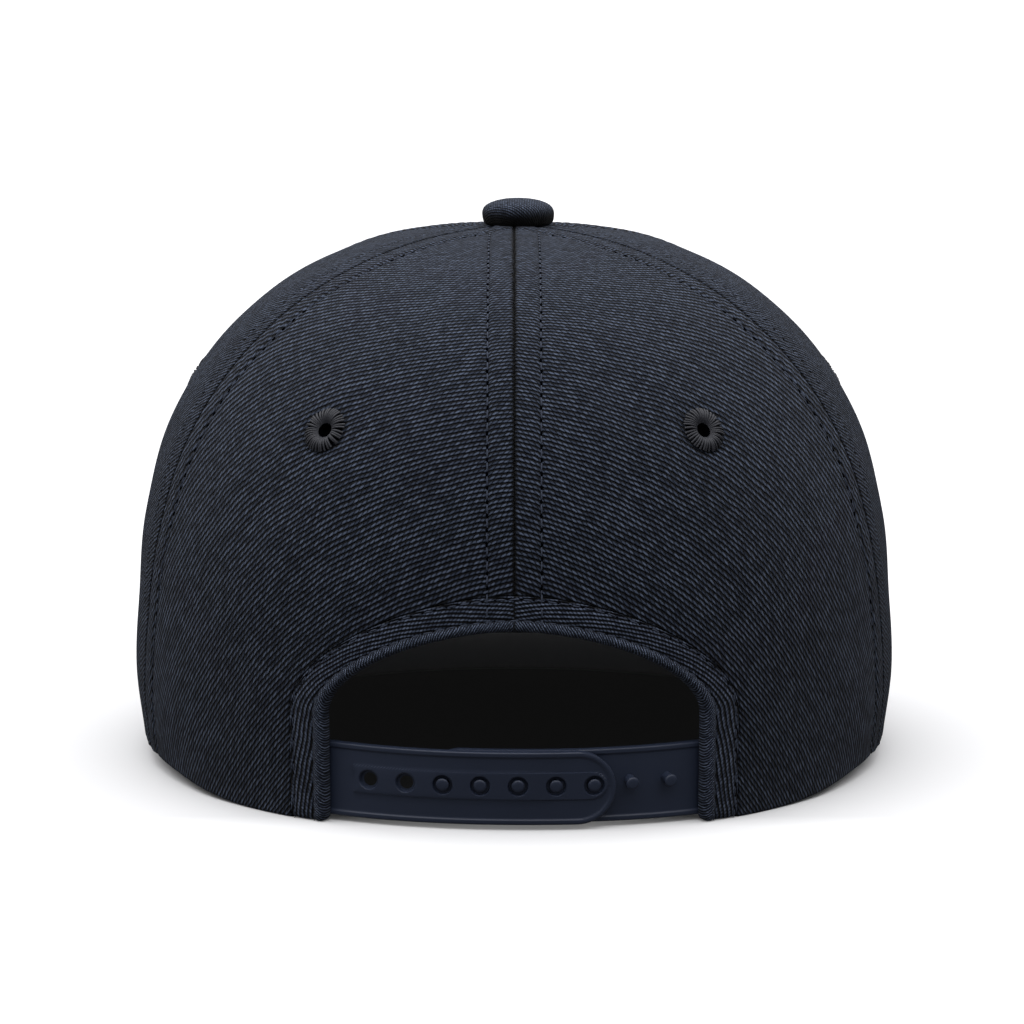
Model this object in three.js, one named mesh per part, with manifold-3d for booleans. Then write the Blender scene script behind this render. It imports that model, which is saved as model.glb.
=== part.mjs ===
// Snapback cap: a hollow cloth crown of six panels, a flat peak, and a two-part snap strap across the
// opening at the back. The back faces -Y, the peak points along +Y and +Z is up. Millimetres.
import * as THREE from 'three';
import { mergeVertices } from 'three/addons/utils/BufferGeometryUtils.js';
import Module from 'manifold-3d';

const wasm = await Module();
wasm.setup();

// Crown: its plan is measured from the axis under the button.
const crownWidth = 176;
const backReach = 104;
const frontReach = 95;
const crownHeight = 122;
const clothThickness = 1.6;
const pieceGap = 0.3;

// Peak: two stitched layers, nearly flat, and curved a little across.
const peakHalfWidth = 88;
const peakProjection = 70;
const peakCurve = 8;
const peakUpperThickness = 1.9;
const peakUnderThickness = 1.5;
const peakRootAngle = 22;

// Opening at the back, with its turned hem.
const archWidth = 82;
const archHeight = 44.5;
const archSpringHeight = 25;
const hemWidth = 7.6;
const hemThickness = 2.4;
const hemProud = 0.3;

// Snap strap: two plastic halves that overlap, one with holes and one with studs.
const strapHeight = 16.8;
const strapFloorGap = 1.2;
const strapThickness = 1.6;
const strapLean = 6;
const strapTab = 12;
const tabBlend = 20;
const reliefHeight = 0.5;
const beadWidth = 1.2;
const platformHeight = 6.2;
const platformStartMargin = 3.5;
const platformEndMargin = 2.8;
const snapPitch = 8.3;
const snapCount = 7;
const snapsOpen = 2;
const snapEndMargin = 4.8;
const snapShift = 0.8;
const snapLift = 0.6;
const holeRadius = 1.5;
const sinkRadius = 2.3;
const studLength = 3.2;
const studClearance = 0.2;

// Sweatband, eyelets and button.
const bandHeight = 30;
const bandThickness = 1.2;
const bandLift = 1;
const eyeletRadius = 5;
const eyeletBore = 1.6;
const eyeletSleeveWall = 0.7;
const eyeletRimHeight = 0.9;
const eyeletLevel = 0.515;
const buttonRadius = 8.5;
const buttonHeight = 6;
const shankRadius = 1.4;
const frontSeamAngle = 36;

// Shape of the crown from the rim up to the apex in even steps. rise is a share of the height, side,
// back and front are shares of the plan's radius, and seam is the side seam's angle in degrees.
const crownRows = [
  { rise: 0.0, side: 0.99, back: 0.965, front: 1.0, seam: 20 },
  { rise: 0.13, side: 1.008, back: 0.985, front: 0.99, seam: 21.5 },
  { rise: 0.28, side: 1.0, back: 1.0, front: 0.975, seam: 23.5 },
  { rise: 0.44, side: 0.981, back: 0.985, front: 0.95, seam: 26.5 },
  { rise: 0.6, side: 0.924, back: 0.93, front: 0.9, seam: 28.5 },
  { rise: 0.74, side: 0.82, back: 0.84, front: 0.82, seam: 31.5 },
  { rise: 0.855, side: 0.677, back: 0.71, front: 0.71, seam: 35.5 },
  { rise: 0.935, side: 0.503, back: 0.53, front: 0.54, seam: 39 },
  { rise: 0.983, side: 0.295, back: 0.29, front: 0.29, seam: 41 },
  { rise: 1.0, side: 0.0, back: 0.0, front: 0.0, seam: 41 },
];
const backRoundness = 2.1;
const frontRoundness = 2;
const archRoundness = 1.75;
const peakRoundness = 2.4;
const flatRimShare = 0.6;

// Values that follow from the sizes above.
const sideReach = crownWidth / 2;
const peakStack = peakUpperThickness + pieceGap + peakUnderThickness;
const rimSideLift = peakStack + pieceGap;
const peakCurveReach = sideReach * crownRows[0].side - clothThickness;
const apexHoleRadius = shankRadius + pieceGap;
const eyeletSleeveRadius = eyeletBore + eyeletSleeveWall;
const hemInnerDepth = hemThickness - hemProud;
const strapSeat = hemInnerDepth + pieceGap;
const layerStep = strapThickness + reliefHeight + pieceGap;
const tabLayer = strapSeat - clothThickness + layerStep;
const studRadius = holeRadius - studClearance;
const snapRun = (snapCount - 1 + snapsOpen) * snapPitch;
const firstHole = snapShift - snapRun / 2;
const lastHole = firstHole + (snapCount - 1) * snapPitch;
const strapMiddle = strapFloorGap + strapHeight / 2;
const snapLine = strapMiddle + snapLift;

// Crown surface

const upVector = new THREE.Vector3(0, 0, 1);
const radians = THREE.MathUtils.degToRad;

// Smooth curve through one column of crownRows. mirror is 1 where the column goes on evenly over the
// apex, and -1 where it changes sign there.
function crownColumn(name, share, mirror) {
  const last = crownRows.length - 1;
  const value = (index) => {
    if (index < 0) return 2 * crownRows[0][name] - crownRows[1][name];
    if (index > last) return mirror * crownRows[2 * last - index][name];
    return crownRows[index][name];
  };
  const place = Math.min(Math.max(share, 0), 1) * last;
  const index = Math.min(Math.floor(place), last - 1);
  const t = place - index;
  const [before, start, end, after] = [value(index - 1), value(index), value(index + 1), value(index + 2)];
  const curve = 2 * before - 5 * start + 4 * end - after;
  const twist = 3 * (start - end) + after - before;
  return start + 0.5 * t * (end - before + t * (curve + t * twist));
}

function planRadius(angle) {
  const isBack = Math.sin(angle) < 0;
  const reach = isBack ? backReach : frontReach;
  const roundness = isBack ? backRoundness : frontRoundness;
  const across = (Math.abs(Math.cos(angle)) / sideReach) ** roundness;
  const along = (Math.abs(Math.sin(angle)) / reach) ** roundness;
  return (across + along) ** (-1 / roundness);
}

// The front of the rim follows the curve of the peak, and the back of it lies flat.
function frontRimHeight(x) {
  return rimSideLift + peakCurve * Math.max(1 - (x / peakCurveReach) ** 2, 0);
}

function rimHeight(angle) {
  if (Math.sin(angle) >= 0) return frontRimHeight(planRadius(angle) * Math.cos(angle));
  return rimSideLift * THREE.MathUtils.smoothstep(Math.abs(Math.cos(angle)), flatRimShare, 1);
}

function crownPoint(angle, share) {
  const sine = Math.sin(angle);
  const endColumn = sine < 0 ? 'back' : 'front';
  const sideShare = Math.cos(angle) ** 2;
  const reachShare = sideShare * crownColumn('side', share, -1)
    + (1 - sideShare) * crownColumn(endColumn, share, -1);
  const radius = planRadius(angle) * reachShare;
  const rim = rimHeight(angle);
  const height = rim + (crownHeight - rim) * crownColumn('rise', share, 1);
  return new THREE.Vector3(radius * Math.cos(angle), radius * sine, height);
}

function crownNormal(angle, share) {
  const step = 0.002;
  const low = Math.max(share - step, 0);
  const high = Math.min(share + step, 1);
  const around = crownPoint(angle + step, share).sub(crownPoint(angle - step, share));
  const upward = crownPoint(angle, high).sub(crownPoint(angle, low));
  return around.cross(upward).normalize();
}

// A point at a depth under the crown's outer face. At the rim the wall is cut level.
function wallPoint(angle, share, depth) {
  const point = crownPoint(angle, share).addScaledVector(crownNormal(angle, share), -depth);
  if (share === 0) point.z = Math.sin(angle) < 0 ? rimHeight(angle) : frontRimHeight(point.x);
  return point;
}

// Halves a range until it meets the value that a rising function takes.
function solveRising(rising, target, low, high) {
  let [from, to] = [low, high];
  for (let step = 0; step < 40; step += 1) {
    const middle = (from + to) / 2;
    if (rising(middle) < target) from = middle;
    else to = middle;
  }
  return (from + to) / 2;
}

function shareAtHeight(angle, height) {
  const rim = rimHeight(angle);
  if (height <= rim) return 0;
  return solveRising((share) => crownColumn('rise', share, 1), (height - rim) / (crownHeight - rim), 0, 1);
}

// The point of the crown's back at a given place across and height, at a depth under its outer face.
function backPoint(x, height, depth) {
  const across = (angle) => crownPoint(angle, shareAtHeight(angle, height)).x;
  const angle = solveRising(across, x, -Math.PI, 0);
  return wallPoint(angle, shareAtHeight(angle, height), depth);
}

// Solids

// A box whose corners and cells are carried to their place by a function of three shares.
function shapedBox(place, cellsAcross, cellsUp) {
  const geometry = new THREE.BoxGeometry(1, 1, 1, cellsAcross, cellsUp, 1);
  const position = geometry.attributes.position;
  for (let index = 0; index < position.count; index += 1) {
    const across = position.getX(index) + 0.5;
    const up = position.getY(index) + 0.5;
    const out = position.getZ(index) + 0.5;
    const point = place(across, up, out);
    position.setXYZ(index, point.x, point.y, point.z);
  }
  return closed(geometry);
}

function closed(geometry) {
  geometry.deleteAttribute('normal');
  geometry.deleteAttribute('uv');
  return mergeVertices(geometry, 1e-4);
}

// The same place function on the other side of the cap.
function onSide(side, place) {
  if (side > 0) return place;
  return (across, up, out) => {
    const point = place(1 - across, up, out);
    point.x = -point.x;
    return point;
  };
}

function toSolid(geometry) {
  const vertProperties = new Float32Array(geometry.attributes.position.array);
  const triVerts = new Uint32Array(geometry.index.array);
  return new wasm.Manifold(new wasm.Mesh({ numProp: 3, vertProperties, triVerts }));
}

function toGeometry(solid) {
  const mesh = solid.getMesh();
  const geometry = new THREE.BufferGeometry();
  geometry.setAttribute('position', new THREE.BufferAttribute(mesh.vertProperties, 3));
  geometry.setIndex(new THREE.BufferAttribute(mesh.triVerts, 1));
  return geometry;
}

// An outline seen from the back, carried through the cap's back wall from outside to inside.
function backPrism(outline) {
  const outsideCrown = backReach / 4;
  const geometry = new THREE.ExtrudeGeometry(outline, { depth: backReach, bevelEnabled: false });
  geometry.rotateX(Math.PI / 2);
  geometry.translate(0, -outsideCrown, 0);
  return toSolid(closed(geometry));
}

// A turned solid that stands on a surface along its normal.
function turned(profile, cells, point, normal) {
  const geometry = new THREE.LatheGeometry(profile, cells);
  const turn = new THREE.Quaternion().setFromUnitVectors(new THREE.Vector3(0, 1, 0), normal);
  geometry.applyQuaternion(turn);
  geometry.translate(point.x, point.y, point.z);
  return closed(geometry);
}

function drill(radius, length, point, normal) {
  const profile = [
    new THREE.Vector2(0, -length / 2),
    new THREE.Vector2(radius, -length / 2),
    new THREE.Vector2(radius, length / 2),
    new THREE.Vector2(0, length / 2),
  ];
  return toSolid(turned(profile, 14, point, normal));
}

// Opening at the back: its edge, or a line outside it, from the rim (0) to the top (1) on the right.
function archPoint(share, outside) {
  const straightShare = 0.35;
  const halfWidth = archWidth / 2 + outside;
  const rise = archHeight - archSpringHeight + outside;
  if (share < straightShare) return new THREE.Vector2(halfWidth, archSpringHeight * share / straightShare);
  const turn = (share - straightShare) / (1 - straightShare) * Math.PI / 2;
  const across = Math.max(Math.cos(turn), 0) ** (2 / archRoundness);
  const up = Math.sin(turn) ** (2 / archRoundness);
  return new THREE.Vector2(halfWidth * across, archSpringHeight + rise * up);
}

const archCells = 14;

function archOutline(outside) {
  const points = [new THREE.Vector2(archPoint(0, outside).x, -archHeight)];
  for (let cell = 0; cell <= archCells; cell += 1) points.push(archPoint(cell / archCells, outside));
  const left = points.slice(0, -1).reverse().map((point) => new THREE.Vector2(-point.x, point.y));
  return new THREE.Shape([...points, ...left]);
}

// Crown panels

const seams = {
  centreBack: () => -90,
  sideBack: (share) => -crownColumn('seam', share, 1),
  sideFront: () => frontSeamAngle,
  centreFront: () => 90,
};

const panelCells = { across: 10, up: 14 };

// The top of the panels stops at the hole under the button.
const lastRow = crownRows[crownRows.length - 2];
const topSlope = sideReach * lastRow.side * (crownRows.length - 1);
const topShare = 1 - apexHoleRadius / topSlope;

function seamAngle(seam, share, direction) {
  const angle = radians(seam(share));
  const edge = crownPoint(angle, share);
  return angle + direction * pieceGap / 2 / Math.hypot(edge.x, edge.y);
}

function panelPlace(fromSeam, toSeam) {
  return (across, up, out) => {
    const share = up * topShare;
    const from = seamAngle(fromSeam, share, 1);
    const to = seamAngle(toSeam, share, -1);
    return wallPoint(from + (to - from) * across, share, clothThickness * (1 - out));
  };
}

function panelSolid(side, fromSeam, toSeam) {
  return toSolid(shapedBox(onSide(side, panelPlace(fromSeam, toSeam)), panelCells.across, panelCells.up));
}

function eyeletSeat(side, fromSeam, toSeam, eyeletShare) {
  const from = fromSeam(eyeletLevel);
  const angle = radians(from + (toSeam(eyeletLevel) - from) * eyeletShare);
  const point = crownPoint(angle, eyeletLevel);
  const normal = crownNormal(angle, eyeletLevel);
  point.x *= side;
  normal.x *= side;
  return { point, normal };
}

function eyeletGeometry(seat) {
  const sleeveEnd = -clothThickness - pieceGap - eyeletRimHeight / 2;
  const profile = [
    new THREE.Vector2(eyeletBore, sleeveEnd),
    new THREE.Vector2(eyeletSleeveRadius, sleeveEnd),
    new THREE.Vector2(eyeletSleeveRadius, 0),
    new THREE.Vector2(eyeletRadius, 0),
    new THREE.Vector2(eyeletRadius * 0.9, eyeletRimHeight * 0.8),
    new THREE.Vector2(eyeletRadius * 0.6, eyeletRimHeight),
    new THREE.Vector2(eyeletBore, eyeletRimHeight * 0.5),
    new THREE.Vector2(eyeletBore, sleeveEnd),
  ];
  const point = seat.point.clone().addScaledVector(seat.normal, pieceGap);
  return turned(profile, 14, point, seat.normal);
}

function hemPlace(across, up, out) {
  const line = archPoint(up, hemWidth * across);
  const x = Math.max(line.x, pieceGap / 2);
  return backPoint(x, line.y, hemInnerDepth - hemThickness * out);
}

// Sweatband: it runs round inside the rim from one strap tab to the other.
function bandPlace(across, up, out) {
  const opening = Math.asin((archWidth / 2 + hemWidth / 2) / backReach);
  const angle = -Math.PI / 2 + opening + 2 * (Math.PI - opening) * across;
  const tabEnd = archWidth / 2 + strapTab;
  const fromMiddle = Math.abs(Math.cos(angle)) * sideReach;
  const tabShare = 1 - THREE.MathUtils.smoothstep(fromMiddle, tabEnd, tabEnd + tabBlend);
  const isBack = Math.sin(angle) < 0;
  const seat = clothThickness + pieceGap + (isBack ? tabLayer * tabShare : 0);
  const height = rimHeight(angle) + bandLift + bandHeight * up;
  return wallPoint(angle, shareAtHeight(angle, height), seat + bandThickness * (1 - out));
}

// Peak

function peakPlace(depth, thickness) {
  const frontEdge = frontReach + peakProjection;
  return (across, forward, out) => {
    const spread = 180 - 2 * peakRootAngle;
    const rootAngle = radians(180 - peakRootAngle - spread * across);
    const root = wallPoint(rootAngle, 0, clothThickness);
    const rootEnd = frontReach * Math.sin(radians(peakRootAngle)) + pieceGap;
    const turn = Math.PI * (1 - across);
    const edgeShare = Math.abs(Math.cos(turn)) ** (2 / peakRoundness);
    const edgeX = peakHalfWidth * Math.sign(Math.cos(turn)) * edgeShare;
    const edgeY = rootEnd + (frontEdge - rootEnd) * Math.max(Math.sin(turn), 0) ** (2 / peakRoundness);
    const x = THREE.MathUtils.lerp(root.x, edgeX, forward);
    const y = THREE.MathUtils.lerp(root.y, edgeY, forward);
    const top = frontRimHeight(x) - pieceGap - depth;
    return new THREE.Vector3(x, y, top - thickness * (1 - out));
  };
}

// Snap strap. The holed half starts behind the left panel and the studded half behind the right one.
// They cross the opening as layers that trade places from one side to the other.
function strapPoint(x, height, depth) {
  const crossing = THREE.MathUtils.clamp((x + archWidth / 2) / archWidth, 0, 1);
  const spread = Math.max(1 - (2 * x / archWidth) ** 2, 0);
  const point = backPoint(x, height, strapSeat + depth - layerStep * crossing);
  point.z = height;
  point.y += Math.tan(radians(strapLean)) * spread * (strapMiddle - height);
  return point;
}

const slabCell = 6;
const cutMargin = 2;

function strapSlab(fromX, toX, outerDepth, innerDepth) {
  const low = strapMiddle - strapHeight * 0.6;
  const place = (across, up, out) => {
    const x = fromX + (toX - fromX) * across;
    const height = low + strapHeight * 1.2 * up;
    return strapPoint(x, height, innerDepth + (outerDepth - innerDepth) * out);
  };
  return toSolid(shapedBox(place, Math.ceil((toX - fromX) / slabCell), 2));
}

// Outline of a bar with a square end at startX and a round end, drawn to the right.
function barOutline(startX, endX, height, side, middleHeight) {
  const radius = height / 2;
  const outline = [new THREE.Vector2(side * startX, middleHeight - radius)];
  const cells = 10;
  for (let cell = 0; cell <= cells; cell += 1) {
    const turn = Math.PI * (cell / cells - 0.5);
    const x = endX - radius + radius * Math.cos(turn);
    outline.push(new THREE.Vector2(side * x, middleHeight + radius * Math.sin(turn)));
  }
  outline.push(new THREE.Vector2(side * startX, middleHeight + radius));
  return new THREE.Shape(outline);
}

function snapPlaces(from, to) {
  return Array.from({ length: to - from }, (_, index) => firstHole + (from + index) * snapPitch);
}

function strapNormal(x) {
  const step = 0.5;
  const across = strapPoint(x + step, snapLine, 0).sub(strapPoint(x - step, snapLine, 0));
  const upward = strapPoint(x, snapLine + step, 0).sub(strapPoint(x, snapLine - step, 0));
  return across.cross(upward).normalize();
}

// A strap half: a plate with a raised bead round its edge. side is 1 where its free end points right,
// and lastSnap is the snap nearest to that end.
function strapHalf(side, baseDepth, lastSnap) {
  const start = -archWidth / 2 - strapTab;
  const end = side * lastSnap + snapEndMargin;
  const low = start - cutMargin;
  const high = end + cutMargin;
  const span = side > 0 ? [low, high] : [-high, -low];
  const face = baseDepth + reliefHeight;
  const plate = strapSlab(...span, face, face + strapThickness)
    .intersect(backPrism(barOutline(start, end, strapHeight, side, strapMiddle)));
  const beadStart = start - 2 * beadWidth;
  const innerOutline = barOutline(beadStart, end - beadWidth, strapHeight - 2 * beadWidth, side, strapMiddle);
  const inner = backPrism(innerOutline);
  const bead = strapSlab(...span, baseDepth, face + strapThickness / 2)
    .intersect(backPrism(barOutline(start, end, strapHeight, side, strapMiddle)))
    .subtract(inner);
  return plate.add(bead);
}

function holedStrap() {
  let strap = strapHalf(1, 0, lastHole);
  const platformStart = firstHole - platformStartMargin;
  const platformEnd = lastHole + platformEndMargin;
  const platformOutline = barOutline(platformStart, platformEnd, platformHeight, 1, snapLine);
  const platformDepth = reliefHeight + strapThickness / 2;
  const slab = strapSlab(platformStart - cutMargin, platformEnd + cutMargin, 0, platformDepth);
  strap = strap.add(slab.intersect(backPrism(platformOutline)));
  for (const x of snapPlaces(0, snapCount)) {
    const point = strapPoint(x, snapLine, 0);
    const total = reliefHeight + strapThickness;
    const profile = [
      new THREE.Vector2(0, -2 * total),
      new THREE.Vector2(holeRadius, -2 * total),
      new THREE.Vector2(holeRadius, -total * 0.5),
      new THREE.Vector2(sinkRadius, 0),
      new THREE.Vector2(sinkRadius, total),
      new THREE.Vector2(0, total),
    ];
    strap = strap.subtract(toSolid(turned(profile, 12, point, strapNormal(x))));
  }
  return toGeometry(strap);
}

function studdedStrap() {
  const studs = snapPlaces(snapsOpen, snapsOpen + snapCount);
  let strap = strapHalf(-1, layerStep, studs[0]);
  for (const x of studs) {
    const normal = strapNormal(x);
    const point = strapPoint(x, snapLine, 0).addScaledVector(normal, -layerStep - reliefHeight);
    const profile = [
      new THREE.Vector2(0, -strapThickness / 2),
      new THREE.Vector2(studRadius, -strapThickness / 2),
      new THREE.Vector2(studRadius, studLength * 0.88),
      new THREE.Vector2(studRadius * 0.8, studLength),
      new THREE.Vector2(0, studLength),
    ];
    strap = strap.add(toSolid(turned(profile, 12, point, normal)));
  }
  return toGeometry(strap);
}

// Assembly

const cap = new THREE.Group();
const twill = { color: 0x1c2233, roughness: 0.9, metalness: 0 };
const thread = { color: 0x34363c, roughness: 0.7, metalness: 0 };
const lining = { color: 0x0d0e12, roughness: 0.95, metalness: 0 };
const plastic = { color: 0x1d2230, roughness: 0.45, metalness: 0 };

function addPiece(name, geometry, look) {
  const mesh = new THREE.Mesh(geometry, new THREE.MeshStandardMaterial(look));
  mesh.name = name;
  geometry.computeVertexNormals();
  cap.add(mesh);
}

// Each panel lies between two seams, and its eyelet at a share of the way from the first to the second.
const panels = [
  ['back', seams.centreBack, seams.sideBack, 0.463],
  ['side', seams.sideBack, seams.sideFront, 0.62],
  ['front', seams.sideFront, seams.centreFront, 0.555],
];
const hands = [['left', -1], ['right', 1]];
const archCut = backPrism(archOutline(hemWidth + pieceGap));

for (const [hand, side] of hands) {
  for (const [zone, fromSeam, toSeam, eyeletShare] of panels) {
    const seat = eyeletSeat(side, fromSeam, toSeam, eyeletShare);
    const hole = drill(eyeletSleeveRadius + pieceGap, 2 * eyeletRadius, seat.point, seat.normal);
    let panel = panelSolid(side, fromSeam, toSeam).subtract(hole);
    if (zone === 'back') panel = panel.subtract(archCut);
    addPiece(`panel_${zone}_${hand}`, toGeometry(panel), twill);
    addPiece(`eyelet_${zone}_${hand}`, eyeletGeometry(seat), thread);
  }
  addPiece(`arch_hem_${hand}`, shapedBox(onSide(side, hemPlace), 2, archCells), twill);
}

const underDepth = peakUpperThickness + pieceGap;
addPiece('sweatband', shapedBox(bandPlace, 40, 3), lining);
addPiece('peak_upper', shapedBox(peakPlace(0, peakUpperThickness), 24, 4), twill);
addPiece('peak_under', shapedBox(peakPlace(underDepth, peakUnderThickness), 24, 4), twill);

const buttonProfile = [
  new THREE.Vector2(0, -clothThickness - 2 * pieceGap),
  new THREE.Vector2(shankRadius, -clothThickness - 2 * pieceGap),
  new THREE.Vector2(shankRadius, 0),
  new THREE.Vector2(buttonRadius * 0.96, 0),
  new THREE.Vector2(buttonRadius, buttonHeight * 0.18),
  new THREE.Vector2(buttonRadius * 0.98, buttonHeight * 0.42),
  new THREE.Vector2(buttonRadius * 0.85, buttonHeight * 0.72),
  new THREE.Vector2(buttonRadius * 0.52, buttonHeight * 0.93),
  new THREE.Vector2(0, buttonHeight),
];
const apex = new THREE.Vector3(0, 0, crownHeight + pieceGap);
addPiece('top_button', turned(buttonProfile, 20, apex, upVector), twill);
addPiece('strap_holes', holedStrap(), plastic);
addPiece('strap_studs', studdedStrap(), plastic);

// The origin is the middle of the base.
const bounds = new THREE.Box3().setFromObject(cap, true);
const middle = bounds.getCenter(new THREE.Vector3());
cap.position.set(-middle.x, -middle.y, -bounds.min.z);

export default cap;
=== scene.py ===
import math
import bmesh
import bpy
import numpy as np
from mathutils import Matrix, Vector
from mathutils.geometry import delaunay_2d_cdt


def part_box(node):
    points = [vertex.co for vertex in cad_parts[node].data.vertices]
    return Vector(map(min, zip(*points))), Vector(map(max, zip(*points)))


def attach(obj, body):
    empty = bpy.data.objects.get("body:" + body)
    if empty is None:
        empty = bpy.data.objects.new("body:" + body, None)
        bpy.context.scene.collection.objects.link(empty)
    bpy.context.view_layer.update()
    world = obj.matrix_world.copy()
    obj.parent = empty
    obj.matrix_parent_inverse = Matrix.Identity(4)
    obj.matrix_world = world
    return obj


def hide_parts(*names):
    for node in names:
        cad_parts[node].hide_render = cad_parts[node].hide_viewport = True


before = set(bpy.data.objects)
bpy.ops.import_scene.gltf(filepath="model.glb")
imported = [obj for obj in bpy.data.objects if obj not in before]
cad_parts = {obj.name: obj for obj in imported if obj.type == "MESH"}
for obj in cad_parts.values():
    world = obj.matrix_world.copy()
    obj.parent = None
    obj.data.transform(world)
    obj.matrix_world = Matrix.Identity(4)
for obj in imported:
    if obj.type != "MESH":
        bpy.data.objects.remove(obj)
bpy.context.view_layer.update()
print("frame loaded")

# Camera, floor and light. Places are in metres, behind the cap and a little above it.
view = {"lens": 150.8, "distance": 1.0, "height": 0.2102, "pitch": 8.868, "across": -0.0005}
light = {
    "sky": 3.4, "side": 0.42, "below": 0.11, "leftShare": 0.18, "floorTone": 0.56, "floorReach": 14.0,
    # painted shade: the shade values set a near-black patch on the floor under the cap
    "shadeWidth": 0.083, "shadeLength": 0.088, "shadeEdge": (0.97, 1.01), "shadeTone": 0.03,
    # painted light: the floor glows faintly everywhere, and more behind the strap
    "floorGlow": 0.0042, "backGlow": 0.15, "backEdge": -0.084, "backFade": 0.01,
}

buttonLow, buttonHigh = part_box("top_button")
axisY = (buttonLow.y + buttonHigh.y) / 2     # the crown's axis runs under the button


def setSocket(tree, socket, value):          # links another socket, or keeps a plain value
    if isinstance(value, bpy.types.NodeSocket):
        tree.links.new(value, socket)
    else:
        socket.default_value = value


def addNode(tree, kind, inputs=None, **settings):  # a list links several sockets to one input
    node = tree.nodes.new(kind)
    for name, setting in settings.items():
        setattr(node, name, setting)
    for label, value in (inputs or {}).items():
        for source in value if isinstance(value, list) else [value]:
            setSocket(tree, node.inputs[label], source)
    return node


def addObject(name, data):
    made = bpy.data.objects.new(name, data)
    bpy.context.collection.objects.link(made)
    return made


def newMaterial(name, roughness, sheen=0.0, sheenRoughness=0.5, specular=0.3):
    material = bpy.data.materials.new(name)
    material.use_nodes = True
    surface = material.node_tree.nodes["Principled BSDF"]
    surface.inputs["Roughness"].default_value = roughness
    surface.inputs["Sheen Weight"].default_value = sheen
    surface.inputs["Sheen Roughness"].default_value = sheenRoughness
    surface.inputs["Specular IOR Level"].default_value = specular
    return material, material.node_tree, surface


def makeCamera():
    data = bpy.data.cameras.new("backCamera")
    data.lens = view["lens"]
    data.sensor_width = 36
    data.clip_start = 0.01
    data.clip_end = 100
    camera = addObject("backCamera", data)
    camera.location = (view["across"], axisY - view["distance"], view["height"])
    camera.rotation_euler = (math.radians(90 - view["pitch"]), 0, 0)
    bpy.context.scene.camera = camera


def makeFloor():
    reach = light["floorReach"]
    mesh = bpy.data.meshes.new("paleFloor")
    corners = [(-reach, -reach, 0), (reach, -reach, 0), (reach, reach, 0), (-reach, reach, 0)]
    mesh.from_pydata(corners, [], [(0, 1, 2, 3)])
    floor = addObject("paleFloor", mesh)
    material, tree, surface = newMaterial("paleFloor", 0.9, specular=0.1)
    place = addNode(tree, "ShaderNodeTexCoord").outputs["Object"]
    patch = addNode(tree, "ShaderNodeMapping", {     # painted shade: under the cap the floor is coloured nearly black
        "Vector": place, "Location": (0, axisY, 0), "Scale": (light["shadeWidth"], light["shadeLength"], 1)},
        vector_type="TEXTURE")
    away = addNode(tree, "ShaderNodeVectorMath", {0: patch.outputs[0]}, operation="LENGTH")
    tone = addNode(tree, "ShaderNodeMapRange", {
        "Value": away.outputs["Value"], "From Min": light["shadeEdge"][0], "From Max": light["shadeEdge"][1],
        "To Min": light["shadeTone"], "To Max": light["floorTone"]})
    split = addNode(tree, "ShaderNodeSeparateXYZ", {0: place})
    edge = axisY + light["backEdge"]
    glow = addNode(tree, "ShaderNodeMapRange", {     # painted light: behind the strap the floor glows, lifting its shadow
        "Value": split.outputs["Y"], "From Min": edge, "From Max": edge - light["backFade"],
        "To Min": light["floorGlow"], "To Max": light["backGlow"]})
    setSocket(tree, surface.inputs["Emission Strength"], glow.outputs["Result"])
    setSocket(tree, surface.inputs["Emission Color"], (1, 1, 1, 1))
    setSocket(tree, surface.inputs["Base Color"], tone.outputs["Result"])
    mesh.materials.append(material)
    floor.visible_diffuse = False            # the cap is lit by the room alone
    floor.visible_glossy = False


def makeRoom():                              # one soft dome, bright above and dim below
    world = bpy.data.worlds.new("softRoom")
    world.use_nodes = True
    tree = world.node_tree
    tree.nodes.clear()
    place = addNode(tree, "ShaderNodeTexCoord").outputs["Generated"]
    split = addNode(tree, "ShaderNodeSeparateXYZ", {0: place})
    rise = addNode(tree, "ShaderNodeMapRange", {"Value": split.outputs["Z"], "From Min": -1})
    ramp = addNode(tree, "ShaderNodeValToRGB", {"Fac": rise.outputs["Result"]})
    lean = addNode(tree, "ShaderNodeMath", {
        0: split.outputs["X"], 1: -light["leftShare"], 2: 1}, operation="MULTIPLY_ADD")
    shade = addNode(tree, "ShaderNodeBackground", {
        "Color": ramp.outputs["Color"], "Strength": lean.outputs[0]})
    addNode(tree, "ShaderNodeOutputWorld", {"Surface": shade.outputs[0]})
    tones = [(0.0, light["below"]), (0.48, light["below"]), (0.53, light["side"]),
             (0.72, light["side"] * 1.5), (0.90, light["sky"]), (1.0, light["sky"])]
    stops = ramp.color_ramp.elements
    while len(stops) < len(tones):
        stops.new(0.5)
    for stop, (position, tone) in zip(stops, tones):
        stop.position = position
        stop.color = (tone, tone, tone * 1.02, 1)
    bpy.context.scene.world = world
    bpy.context.scene.view_settings.view_transform = "Standard"


makeCamera()
makeFloor()
makeRoom()
print("camera, floor and room made")

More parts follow.
